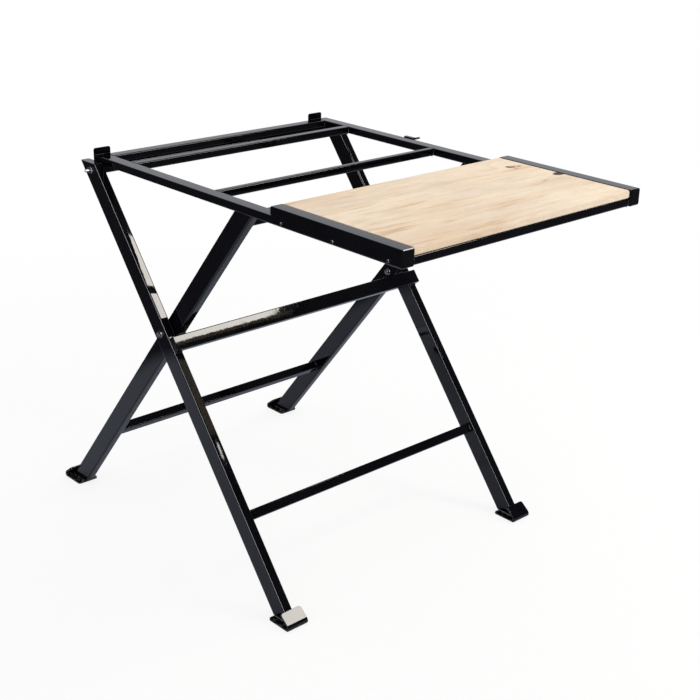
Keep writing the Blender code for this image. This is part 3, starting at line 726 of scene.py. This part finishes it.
def leg(node, body, lean):
    """A leg tube cut level at both ends, hollow along its own length."""
    low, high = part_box(node)
    half = Vector((LEG_WIDTH / 2, LEG_THICKNESS / 2, 1))
    centre = Vector((pivot.x, (low.y + high.y) / 2, pivot.z))
    obj = block(f"{node}_drawn", centre - half, centre + half, leg_tilt(lean))
    up = leg_up(lean)
    with editing(obj):
        pick(obj, "EDGE", lambda edge: runs(edge, up))
        bevel(LEG_CORNER, CORNER_STEPS)
        for level, way in ((low.z, -1), (high.z, 1)):
            bpy.ops.mesh.select_all(action="SELECT")
            bpy.ops.mesh.bisect(plane_co=(0, 0, level), plane_no=(0, 0, way), use_fill=True, clear_outer=True)
            pick(obj, "FACE", lambda face: face.normal.z * way > FACING)
            bpy.ops.mesh.inset(thickness=TUBE_WALL, depth=0)
            bpy.ops.mesh.extrude_region_move(TRANSFORM_OT_translate={"value": -way * HOLLOW_DEPTH * up})
    settle(obj, body, "paint", node)


def legs():
    for side in SIDES:
        leg(f"outer_leg_{side}", "outer_legs", OUTER_LEAN)
        leg(f"inner_leg_{side}", "inner_legs", INNER_LEAN)


# Feet, plates, caps and plugs

def foot(node, body, lean):
    """A bent shoe: sole, upright toe and a flange that leans back to the leg."""
    low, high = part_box(node)
    toe_way = -lean
    floor_x = pivot.x - lean * pivot.z / leg_tan
    nose = half_footprint + FOOT_TOE
    toe = nose - FOOT_THICKNESS
    shoulder = Vector((toe, 0, FOOT_THICKNESS + FOOT_TOE_HEIGHT))
    leg_face = half_footprint - FOOT_FLANGE_HEIGHT / leg_tan
    flange_edge = Vector((leg_face + FOOT_STANDOFF, 0, FOOT_FLANGE_HEIGHT))
    slope = (flange_edge - shoulder).normalized()
    outside = Vector((slope.z, 0, -slope.x))
    half = FOOT_THICKNESS / 2
    bend_x = nose - half
    bend_z = shoulder.z + outside.z * half + slope.z * (half - outside.x * half) / slope.x
    tip = flange_edge + outside * half
    heel = nose - FOOT_LENGTH

    def at(x, z):
        return Vector((floor_x + toe_way * x, 0, z))

    mid_y = (low.y + high.y) / 2
    bpy.ops.object.select_all(action="DESELECT")
    sole = (at(heel, half) + at(bend_x, half)) / 2
    bpy.ops.mesh.primitive_plane_add(size=1, location=(sole.x, mid_y, half))
    obj = named(bpy.context.active_object, f"{node}_bent")
    obj.scale = (bend_x - heel, high.y - low.y, 1)
    apply_place(obj)
    front = at(bend_x, half).x
    with editing(obj):
        pick(obj, "EDGE", lambda edge: abs(middle(edge).x - front) < NEAR)
        rise = at(bend_x, bend_z) - at(bend_x, half)
        bpy.ops.mesh.extrude_region_move(TRANSFORM_OT_translate={"value": rise})
        lean_back = at(tip.x, tip.z) - at(bend_x, bend_z)
        bpy.ops.mesh.extrude_region_move(TRANSFORM_OT_translate={"value": lean_back})
        pick(obj, "EDGE", lambda edge: folds(edge, degrees=20) and middle(edge).z < half + NEAR)
        bevel(FOOT_FOLD + half, ROUND_STEPS)
        pick(obj, "EDGE", lambda edge: folds(edge, degrees=20) and abs(middle(edge).z - bend_z) < NEAR)
        bevel((FOOT_CREASE + half) * math.tan(math.acos(slope.z) / 2), ROUND_STEPS)
        heel_x = at(heel, half).x
        pick(obj, "VERT", lambda vert: abs(vert.co.x - heel_x) < NEAR or vert.co.z > tip.z - NEAR)
        bpy.ops.mesh.bevel(offset=FOOT_CORNER, segments=FOOT_CORNER_STEPS, affect="VERTICES")
        bpy.ops.mesh.select_all(action="SELECT")
        bpy.ops.mesh.normals_make_consistent(inside=False)
    wall = obj.modifiers.new("plate", "SOLIDIFY")
    wall.thickness = FOOT_THICKNESS
    wall.offset = 0
    wall.use_even_offset = True
    hold(obj)
    bpy.ops.object.modifier_apply(modifier=wall.name)
    bevel_all(obj, EDGE_EASE)
    settle(obj, body, "paint", node)


def feet():
    for side in SIDES:
        foot(f"outer_foot_{side}", "outer_legs", OUTER_LEAN)
        foot(f"inner_foot_{side}", "inner_legs", INNER_LEAN)


def end_plates():
    for side in SIDES:
        node = f"end_plate_{side}"
        low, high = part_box(node)
        obj = block(f"{node}_cut", low, high)
        mid_z = (low.z + high.z) / 2
        with editing(obj):
            pick(obj, "EDGE", lambda edge: runs(edge, X) and middle(edge).z > mid_z)
            bevel(PLATE_CORNER, ROUND_STEPS)
            pick(obj, "EDGE", lambda edge: runs(edge, X) and middle(edge).z < low.z + NEAR)
            bevel(PLATE_FOOT_CORNER, PLATE_FOOT_STEPS)
        bevel_all(obj, FINE_EASE)
        settle(obj, "top_frame", "paint", node)


def front_caps():
    """One moulded cap over the front ends of a rail and the trim on it."""
    for side in SIDES:
        node = f"front_cap_{side}"
        low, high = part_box(node)
        obj = block(f"{node}_moulded", (high.x - PLUG_COVER, low.y, low.z), high)
        with editing(obj):
            pick(obj, "EDGE", lambda edge: runs(edge, X))
            bevel(RAIL_CORNER, CORNER_STEPS)
            pick(obj, "EDGE", lambda edge: folds(edge, degrees=60) and middle(edge).x > high.x - NEAR)
            bevel(CAP_CHAMFER, 1)
        settle(obj, "top_frame", "plastic", node)


def moulded_cover(node, body, low, high, direction, corner, tilt=0.0):
    """The part of a plug that shows: rounded as its tube is, and eased all round."""
    obj = block(f"{node}_moulded", low, high, tilt)
    with editing(obj):
        pick(obj, "EDGE", lambda edge: runs(edge, direction))
        bevel(corner, CORNER_STEPS)
    bevel_all(obj, EDGE_EASE)
    settle(obj, body, "plastic", node)


def trim_plugs():
    for side in SIDES:
        node = f"trim_plug_{side}"
        low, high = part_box(node)
        moulded_cover(node, "top_frame", low, (low.x + PLUG_COVER, high.y, high.z), X, RAIL_CORNER)


def stop_bar_plugs():
    for side, sign in SIDES.items():
        node = f"stop_bar_plug_{side}"
        low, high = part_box("stop_bar")
        centre = (low + high) / 2
        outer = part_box(node)[1].y if sign > 0 else -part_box(node)[0].y
        half = Vector((STOP_BAR_THICKNESS, PLUG_COVER, STOP_BAR_WIDTH)) / 2
        centre.y = sign * (outer - PLUG_COVER / 2)
        moulded_cover(node, "outer_legs", centre - half, centre + half, Y, BAR_CORNER, leg_tilt(OUTER_LEAN))


def leg_plugs():
    """Level covers on the outer legs' tops."""
    for side in SIDES:
        node = f"outer_leg_plug_{side}"
        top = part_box(node)[1].z
        low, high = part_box(f"outer_leg_{side}")
        centre_x = pivot.x - (top - PLUG_COVER - pivot.z) / leg_tan
        moulded_cover(node, "outer_legs", (centre_x - half_footprint, low.y, top - PLUG_COVER),
                      (centre_x + half_footprint, high.y, top), Z, LEG_CORNER)


def stop_pads():
    """Rubber wedges with eased edges, taken from the solids' own outline."""
    for side in SIDES:
        node = f"stop_pad_{side}"
        obj = copied(frame["nodes"][node], f"{node}_eased", Matrix())
        obj.parent = None
        with editing(obj):
            bpy.ops.mesh.select_all(action="SELECT")
            bpy.ops.mesh.remove_doubles(threshold=PAD_MERGE)
            bpy.ops.mesh.dissolve_limited(angle_limit=PAD_FLAT)
        bevel_all(obj, FINE_EASE)
        settle(obj, "outer_legs", "rubber", node)


def reach(node, sign):
    """Nearest and furthest distance of a node from the stand's middle plane, on its side."""
    low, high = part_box(node)
    return (low.y, high.y) if sign > 0 else (-high.y, -low.y)


def trim_seams():
    """The filled seam between a rail and the trim on it, ground flush on the outer side."""
    for side, sign in SIDES.items():
        trim_low, trim_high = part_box(f"edge_trim_{side}")
        rail_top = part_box(f"side_rail_{side}")[1].z
        outer = sign * reach(f"side_rail_{side}", sign)[1]
        inner = outer - sign * RAIL_CORNER
        obj = block(f"trim_seam_{side}", (trim_low.x, min(inner, outer), rail_top - RAIL_CORNER),
                    (trim_high.x, max(inner, outer), trim_low.z + RAIL_CORNER))
        with editing(obj):
            pick(obj, "EDGE", lambda edge: runs(edge, Z))
            bevel(FINE_EASE, EASE_STEPS)
        settle(obj, "top_frame", "paint")


# Work board

def work_board():
    """A single board: rounded front edge, eased rear edge and slightly eased ends."""
    low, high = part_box("work_board")
    obj = block("pine_work_board", low, high)
    with editing(obj):
        pick(obj, "EDGE", lambda edge: runs(edge, Y) and middle(edge).x > high.x - NEAR)
        bevel(BOARD_ROUND, ROUND_STEPS)
        pick(obj, "EDGE", lambda edge: runs(edge, Y) and middle(edge).x < low.x + NEAR)
        bevel(BOARD_EASE, BOARD_EASE_STEPS)
    bevel_all(obj, EDGE_EASE)
    settle(obj, "top_frame", "pine", "work_board")


# Fasteners

def hex_head(name, low, high, dished=False):
    """A hexagon whose corners are turned down at the top, with or without a shallow dish."""
    corner = HEAD_ACROSS / math.sqrt(3)
    head = rod(name, corner, low, high, 6)
    if dished:
        with editing(head):
            pick(head, "FACE", lambda face: face.normal.z > FACING)
            bpy.ops.mesh.inset(thickness=DISH_INSET, depth=0)
            bpy.ops.mesh.inset(thickness=DISH_EDGE, depth=-DISH_DEPTH)
    turned = rod("turning", corner + HEAD_TURNING_SPARE, low - CUT_OVERRUN, high, HEAD_TURNING_SIDES)
    with editing(turned):
        pick(turned, "EDGE", lambda edge: middle(edge).z > high - TOUCH)
        bevel(HEAD_TURNING, TURNED_STEPS)
    cut(head, turned, "INTERSECT")
    return head


def flange(name):
    """A washer-like skirt, its upper edge sloped."""
    skirt = rod(name, FLANGE_DIAMETER / 2, 0, FLANGE_THICKNESS, FLANGE_SIDES)
    with editing(skirt):
        pick(skirt, "EDGE", lambda edge: middle(edge).z > FLANGE_THICKNESS - TOUCH)
        bevel(FLANGE_SLOPE, TURNED_STEPS)
    return skirt


def pinch(bar, low, high, pitch, root):
    """In edit mode, cuts a round bar into rings and pinches every other one."""
    turns = max(2, round((high - low) / pitch))
    spacing = (high - low) / (2 * turns)
    pick(bar, "EDGE", lambda edge: runs(edge, Z))
    bpy.ops.mesh.subdivide(number_cuts=2 * turns - 1)
    pick(bar, "VERT", lambda vert: round((vert.co.z - low) / spacing) % 2 == 0)
    bpy.ops.transform.resize(value=(root, root, 1), center_override=(0, 0, 0))


def thread(name, radius, low, high, pitch, sides):
    """A threaded bar with tapered ends."""
    bar = rod(name, radius, low, high, sides)
    with editing(bar):
        pinch(bar, low, high, pitch, THREAD_ROOT)
    return bar


def flange_bolt(length, tip):
    """Flange bolt along Z, seat at 0: head above, plain shank and threaded tip below."""
    top = FLANGE_THICKNESS + HEAD_HEIGHT
    head = hex_head("bolt_head", FLANGE_THICKNESS / 2, top, dished=True)
    shank = rod("bolt_shank", BOLT_DIAMETER / 2, tip - length, SHANK_LAP, BOLT_SIDES)
    end = thread("bolt_tip", BOLT_DIAMETER / 2, -length, tip - length, THREAD_PITCH, BOLT_SIDES)
    return joined("flange_bolt", [flange("bolt_flange"), shank, end, head])


def hinge_stud(inside, outside):
    """Stud along Z through its nut's seat at 0: plain below, threaded above."""
    shank = rod("stud_shank", BOLT_DIAMETER / 2, -inside, SHANK_LAP, BOLT_SIDES)
    end = thread("stud_end", BOLT_DIAMETER / 2, 0, outside, THREAD_PITCH, BOLT_SIDES)
    return joined("hinge_stud", [shank, end])


def flange_nut():
    """Flange nut along Z, seat at 0, bored for the bolt."""
    nut = hex_head("nut_body", FLANGE_THICKNESS / 2, NUT_HEIGHT)
    skirt = flange("nut_flange")
    bore = BOLT_DIAMETER / 2 + NUT_CLEARANCE
    top = NUT_HEIGHT + CUT_OVERRUN
    cut(nut, rod("nut_bore", bore, -CUT_OVERRUN, top, ROUND_SIDES), "DIFFERENCE")
    cut(skirt, rod("skirt_bore", bore, -CUT_OVERRUN, top, ROUND_SIDES), "DIFFERENCE")
    return joined("flange_nut", [skirt, nut])


def pan_screw():
    """Pan-head screw along Z, seat at 0, with a cross recess."""
    head = rod("screw_head", SCREW_HEAD / 2, 0, SCREW_HEAD_HEIGHT, ROUND_SIDES)
    with editing(head):
        pick(head, "EDGE", lambda edge: middle(edge).z > SCREW_HEAD_HEIGHT - TOUCH)
        bevel(SCREW_DOME, DOME_STEPS)
    for span in (SCREW_RECESS, SCREW_RECESS.yxz):
        low = -span / 2 + Z * (SCREW_HEAD_HEIGHT - SCREW_RECESS_DEPTH)
        high = span / 2 + Z * (SCREW_HEAD_HEIGHT + CUT_OVERRUN)
        cut(head, block("recess", low, high), "DIFFERENCE")
    stem = rod("screw_stem", SCREW_STEM_RADIUS, -SCREW_STEM_LENGTH, SHANK_LAP, THIN_SIDES)
    return joined("pan_screw", [stem, head])


def fasteners():
    nut = flange_nut()
    screw = pan_screw()
    for side, sign in SIDES.items():
        seat = reach(f"outer_leg_{side}", sign)[1] + SEAT_GAP
        turn = Matrix.Rotation(HEAD_TURN * sign, 4, "Z")
        place = outward(sign, Vector((hinge.x, sign * seat, hinge.z))) @ turn
        inner, outer = reach(f"hinge_stud_{side}", sign)
        stud = hinge_stud(seat - inner, outer - seat)
        settle(copied(stud, f"hinge_stud_{side}_turned", place), "top_frame", "zinc", f"hinge_stud_{side}")
        settle(copied(nut, f"hinge_nut_{side}_turned", place), "top_frame", "zinc", f"hinge_nut_{side}")
        place = outward(sign, Vector((pivot.x, sign * seat, pivot.z))) @ turn
        bolt = flange_bolt(seat - reach(f"pivot_bolt_{side}", sign)[0], BOLT_THREAD)
        settle(copied(bolt, f"pivot_bolt_{side}_turned", place), "outer_legs", "zinc", f"pivot_bolt_{side}")
        nut_seat = reach(f"inner_leg_{side}", sign)[0] - SEAT_GAP
        turn = Matrix.Rotation(NUT_TURN, 4, "Z")
        place = outward(-sign, Vector((pivot.x, sign * nut_seat, pivot.z))) @ turn
        settle(copied(nut, f"pivot_nut_{side}_turned", place), "outer_legs", "zinc", f"pivot_nut_{side}")
        face = reach(f"side_rail_{side}", sign)[1] + SEAT_GAP
        for row in (1, 2, 3):
            node = f"board_screw_{side}_{row}"
            low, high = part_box(node)
            place = Vector(((low.x + high.x) / 2, sign * face, (low.z + high.z) / 2))
            turn = Matrix.Rotation(SCREW_TURN + SCREW_TURN_STEP * row, 4, "Z")
            settle(copied(screw, f"{node}_turned", outward(sign, place) @ turn), "top_frame", "screw", node)
        discard(stud)
        discard(bolt)
    discard(nut)
    discard(screw)


def side_lug():
    low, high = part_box("side_lug")
    obj = block("side_lug_cut", low, high)
    with editing(obj):
        pick(obj, "EDGE", lambda edge: runs(edge, Z) and middle(edge).y > high.y - NEAR)
        bevel(LUG_CORNER, CORNER_STEPS)
    bevel_all(obj, LUG_EASE)
    settle(obj, "top_frame", "paint", "side_lug")
    low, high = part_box("side_lug_stud")
    centre = (low + high) / 2
    stud = thread("side_lug_stud_cut", (high.x - low.x) / 2, 0, high.y - low.y, STUD_PITCH, THIN_SIDES)
    stud.matrix_world = outward(1, Vector((centre.x, low.y, centre.z)))
    apply_place(stud)
    settle(stud, "top_frame", "zinc", "side_lug_stud")


# Welds

bead_stock = {}


def bead(start, end, radius):
    """One run of weld along a seam: a round bar pinched into ripples, its ends tapered."""
    start, end = Vector(start), Vector(end)
    run = end - start
    key = (round(run.length, 5), radius)
    if key not in bead_stock:
        half = run.length / 2
        bar = rod("bead_stock", radius, -half, half, BEAD_SIDES)
        with editing(bar):
            pinch(bar, -half, half, RIPPLE_PITCH, RIPPLE_ROOT)
            pick(bar, "VERT", lambda vert: abs(vert.co.z) > half - TOUCH)
            bpy.ops.transform.resize(value=(BEAD_TIP, BEAD_TIP, 1), center_override=(0, 0, 0))
        bead_stock[key] = bar
    turn = run.to_track_quat("Z", "X").to_matrix().to_4x4()
    return copied(bead_stock[key], "bead", Matrix.Translation((start + end) / 2) @ turn)


def end_welds(low, high, y):
    """Seams round the end of a level bar: both sides and the underside, the top ground flush."""
    beads = []
    for x in (low.x, high.x):
        beads.append(bead((x, y, low.z + WELD_END), (x, y, high.z - WELD_END), WELD_RADIUS))
    beads.append(bead((low.x + WELD_END, y, low.z), (high.x - WELD_END, y, low.z), WELD_RADIUS))
    return beads


def top_frame_welds():
    beads = []
    for node in ("rear_cross_tube", "second_crossbar", "middle_crossbar", "board_bearer", "front_bar"):
        low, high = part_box(node)
        for y in (low.y, high.y):
            beads += end_welds(low, high, y)
    hinge_low, hinge_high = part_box("hinge_tube")
    for side in SIDES:
        rail_low, rail_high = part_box(f"side_rail_{side}")
        for x in (hinge_low.x + HINGE_WELD_INSET, hinge_high.x):
            beads.append(bead((x, rail_low.y + WELD_END, rail_low.z), (x, rail_high.y - WELD_END, rail_low.z),
                              WELD_RADIUS))
        plate_low, plate_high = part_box(f"end_plate_{side}")
        first = max(plate_low.y, rail_low.y - PLATE_WELD_REACH) + WELD_END
        last = min(plate_high.y, rail_high.y) - WELD_END
        beads.append(bead((plate_high.x, first, rail_high.z), (plate_high.x, last, rail_high.z),
                          SMALL_WELD_RADIUS))
    lug_low, lug_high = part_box("side_lug")
    rail_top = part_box("side_rail_far")[1].z
    for x in (lug_low.x, lug_high.x):
        beads.append(bead((x, lug_low.y, lug_low.z + SHORT_WELD_END),
                          (x, lug_low.y, rail_top - SHORT_WELD_END), SMALL_WELD_RADIUS))
    settle(joined("top_frame_welds", beads), "top_frame", "weld_paint")


def square_welds(node, lean, size):
    """Seams on all four sides of both ends of a tilted square bar."""
    low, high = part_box(node)
    centre = (low + high) / 2
    half = size / 2
    up, across = leg_up(lean), leg_across(lean)
    run = half - WELD_END
    beads = []
    for y in (low.y, high.y):
        middle_point = Vector((centre.x, y, centre.z))
        for side, along in ((up, across), (-up, across), (across, up), (-across, up)):
            edge = middle_point + side * half
            beads.append(bead(edge - along * run, edge + along * run, WELD_RADIUS))
    return beads


def foot_welds(node, lean):
    """Seams between a leg and its shoe, along the sole on both sides."""
    low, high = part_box(node)
    floor_x = pivot.x - lean * pivot.z / leg_tan
    beads = []
    for y in (low.y, high.y):
        first = floor_x - half_footprint + FOOT_WELD_END
        last = floor_x + half_footprint - FOOT_WELD_END
        beads.append(bead((first, y, FOOT_THICKNESS), (last, y, FOOT_THICKNESS), FOOT_WELD_RADIUS))
    return beads


def leg_frame_welds():
    outer = square_welds("outer_lower_bar", OUTER_LEAN, LOWER_BAR_SIZE)
    inner = square_welds("inner_lower_bar", INNER_LEAN, LOWER_BAR_SIZE)
    low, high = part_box("inner_top_bar")
    for y in (low.y, high.y):
        inner += end_welds(low, high, y)
    bar_low, bar_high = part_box("stop_bar")
    centre = (bar_low + bar_high) / 2
    back = centre - leg_across(OUTER_LEAN) * STOP_BAR_THICKNESS / 2
    for side in SIDES:
        leg_low, leg_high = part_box(f"outer_leg_{side}")
        seam = back - leg_up(OUTER_LEAN) * STOP_BAR_WIDTH / 2
        outer.append(bead((seam.x, leg_low.y + SHORT_WELD_END, seam.z),
                          (seam.x, leg_high.y - SHORT_WELD_END, seam.z), WELD_RADIUS))
        outer += foot_welds(f"outer_leg_{side}", OUTER_LEAN)
        inner += foot_welds(f"inner_leg_{side}", INNER_LEAN)
    settle(joined("outer_leg_welds", outer), "outer_legs", "weld_paint")
    settle(joined("inner_leg_welds", inner), "inner_legs", "weld_paint")
    for stock in bead_stock.values():
        discard(stock)


# Floor, light and camera

FLOOR_SIZE = 24.0
FLOOR_GAP = 0.2 * MM
FLOOR_ROUGHNESS = 0.8
FLOOR_WHITE = (0.9, 0.9, 0.9, 1)
FLOOR_SPECK = (0.88, 0.88, 0.88, 1)
FLOOR_GLOW = 0.82
GLOW_NEAR = 0.9
GLOW_FAR = 2.4
SHEET_REAR = (-0.98, -0.84)     # the white sheet's edges as the gloss shows them, in X
SHEET_FRONT = (0.95, 1.25)
# painted reflection: the sheet's colour to glossy rays only, darker and bluer than its white
SHEET_GLOSS = (0.44, 0.48, 0.58, 1)
# painted reflection: the dark that glossy rays see past the sheet and in the room, which still lights the stand
# evenly
PAINTED_DARK_REFLECTION = (0.06, 0.06, 0.075, 1)


def studio_floor():
    """A white sheet under the stand, with a painted reflection: gloss sees it grey-blue, and dark past its ends.
    """
    bpy.ops.object.select_all(action="DESELECT")
    bpy.ops.mesh.primitive_plane_add(size=FLOOR_SIZE, location=(0, 0, -FLOOR_GAP))
    floor = named(bpy.context.active_object, "studio_floor")
    apply_place(floor)
    material, tree, shader = new_finish("pale_floor")
    place = own_place(tree)
    path = add(tree, "ShaderNodeLightPath")
    split = add(tree, "ShaderNodeSeparateXYZ")
    tree.links.new(place, split.inputs[0])
    past_rear = band(tree, split.outputs["X"], *SHEET_REAR, 1.0, 0.0)
    past_front = band(tree, split.outputs["X"], *SHEET_FRONT)
    past = math_node(tree, "MAXIMUM", past_rear, past_front)
    speck = band(tree, noise(tree, place, 60, 4), 0.3, 0.7)
    sheet = mixed(tree, speck, FLOOR_WHITE, FLOOR_SPECK)
    # painted reflection: glossy rays see the sheet grey-blue and the floor past it dark
    sheet = mixed(tree, path.outputs["Is Glossy Ray"], sheet, mixed(tree, past, SHEET_GLOSS, PAINTED_DARK_REFLECTION))
    tree.links.new(sheet, shader.inputs["Base Color"])
    shader.inputs["Roughness"].default_value = FLOOR_ROUGHNESS
    shader.inputs["Specular IOR Level"].default_value = 0.0
    length = add(tree, "ShaderNodeVectorMath", operation="LENGTH")
    tree.links.new(place, length.inputs[0])
    share = band(tree, length.outputs["Value"], GLOW_NEAR, GLOW_FAR, FLOOR_GLOW, 1.0)
    seen = math_node(tree, "MAXIMUM", path.outputs["Is Camera Ray"], path.outputs["Is Transmission Ray"])
    glow = add(tree, "ShaderNodeEmission")
    blend = add(tree, "ShaderNodeMixShader")
    tree.links.new(times(tree, seen, share), blend.inputs[0])
    tree.links.new(shader.outputs[0], blend.inputs[1])
    tree.links.new(glow.outputs[0], blend.inputs[2])
    tree.links.new(blend.outputs[0], tree.nodes["Material Output"].inputs["Surface"])
    floor.data.materials.append(material)


WORLD_LIGHT = 0.93
# painted reflection: the backdrop's colour to glossy rays only
BACKDROP_GLOSS = (0.74, 0.76, 0.80, 1)
BACKDROP_WAY = (-0.727, 0.687, 0)
BACKDROP_EDGE = (0.55, 0.8)
LAMP_COLOUR = (1.0, 0.955, 0.88)
STRIP_COLOUR = (0.92, 0.98, 1.0)
SOFTBOX_PLACE = Vector((1.4075, 1.585, 2.6))
SOFTBOX_SIZE = (0.655, 0.83)
SOFTBOX_POWER = 30
STRIP_PLACE = Vector((0.65, -1.9, 1.15))
STRIP_AIM = Vector((-0.05, -0.1, 0.45))
STRIP_RUN = Vector((-0.68, 0.1, 0.72))
STRIP_SIZE = (0.6, 2.2)
STRIP_POWER = 58
GLINTS = (((2.355, 1.815, 2.6), (0.16, 0.11), 0.8), ((1.926, 1.591, 2.6), (0.05, 0.05), 0.11))


def softbox(name, place, way, run, size, power, colour, lights_all):
    """A rectangular lamp, its length along a run; it lights everything or only shows in gloss."""
    lamp = bpy.data.lights.new(name, "AREA")
    lamp.shape = "RECTANGLE"
    lamp.size, lamp.size_y = size
    lamp.energy = power
    lamp.color = colour
    holder = bpy.data.objects.new(name, lamp)
    way = way.normalized()
    run = (run - way * run.dot(way)).normalized()
    basis = Matrix((way.cross(run), run, -way)).transposed()
    holder.matrix_world = Matrix.Translation(place) @ basis.to_4x4()
    holder.visible_diffuse = lights_all
    bpy.context.scene.collection.objects.link(holder)


def studio_light():
    """An even room that lights the stand, shown in gloss as a painted reflection: dark, with a white backdrop
    behind the stand; a softbox, and lamps that show only in gloss.
    """
    world = bpy.data.worlds.new("studio")
    bpy.context.scene.world = world
    world.use_nodes = True
    tree = world.node_tree
    tree.nodes.clear()
    path = add(tree, "ShaderNodeLightPath")
    facing = add(tree, "ShaderNodeVectorMath", operation="DOT_PRODUCT")
    tree.links.new(add(tree, "ShaderNodeTexCoord").outputs["Generated"], facing.inputs[0])
    facing.inputs[1].default_value = BACKDROP_WAY
    behind = band(tree, facing.outputs["Value"], *BACKDROP_EDGE)
    # painted reflection: glossy rays see a dark room with a white backdrop, all other rays the even room light
    room = mixed(tree, path.outputs["Is Glossy Ray"], (WORLD_LIGHT, WORLD_LIGHT, WORLD_LIGHT, 1),
                 mixed(tree, behind, PAINTED_DARK_REFLECTION, BACKDROP_GLOSS))
    seen = math_node(tree, "MAXIMUM", path.outputs["Is Camera Ray"], path.outputs["Is Transmission Ray"])
    shine = add(tree, "ShaderNodeBackground", inputs={"Strength": 1.0})
    tree.links.new(mixed(tree, seen, room, (1, 1, 1, 1)), shine.inputs["Color"])
    output = add(tree, "ShaderNodeOutputWorld")
    tree.links.new(shine.outputs[0], output.inputs["Surface"])
    softbox("softbox", SOFTBOX_PLACE, -Z, Y, SOFTBOX_SIZE, SOFTBOX_POWER, LAMP_COLOUR, True)
    softbox("strip_softbox", STRIP_PLACE, STRIP_AIM - STRIP_PLACE, STRIP_RUN, STRIP_SIZE, STRIP_POWER,
            STRIP_COLOUR, False)
    for row, (place, size, power) in enumerate(GLINTS, start=1):
        softbox(f"glint_{row}", Vector(place), -Z, Y, size, power, LAMP_COLOUR, False)


CAMERA_PLACE = Vector((1.78271, -1.61369, 1.32820))
CAMERA_YAW = math.radians(136.64)
CAMERA_PITCH = math.radians(-21.75)
CAMERA_ROLL = math.radians(1.55)
CAMERA_LENS = 67.83
CAMERA_SENSOR = 36


def photo_camera():
    ahead = Vector((math.cos(CAMERA_PITCH) * math.cos(CAMERA_YAW),
                    math.cos(CAMERA_PITCH) * math.sin(CAMERA_YAW), math.sin(CAMERA_PITCH)))
    level = Vector((math.sin(CAMERA_YAW), -math.cos(CAMERA_YAW), 0))
    upright = level.cross(ahead)
    right = math.cos(CAMERA_ROLL) * level + math.sin(CAMERA_ROLL) * upright
    up = math.cos(CAMERA_ROLL) * upright - math.sin(CAMERA_ROLL) * level
    camera = bpy.data.cameras.new("photo_view")
    camera.lens = CAMERA_LENS
    camera.sensor_width = CAMERA_SENSOR
    holder = bpy.data.objects.new("photo_view", camera)
    bpy.context.scene.collection.objects.link(holder)
    basis = Matrix((right, up, -ahead)).transposed()
    holder.matrix_world = Matrix.Translation(CAMERA_PLACE) @ basis.to_4x4()
    bpy.context.scene.camera = holder


dress_solids()
top_frame_tubes()
leg_frame_bars()
legs()
feet()
end_plates()
front_caps()
trim_plugs()
stop_bar_plugs()
leg_plugs()
stop_pads()
trim_seams()
work_board()
fasteners()
side_lug()
top_frame_welds()
leg_frame_welds()
studio_floor()
studio_light()
photo_camera()
bpy.context.scene.view_settings.view_transform = "Standard"
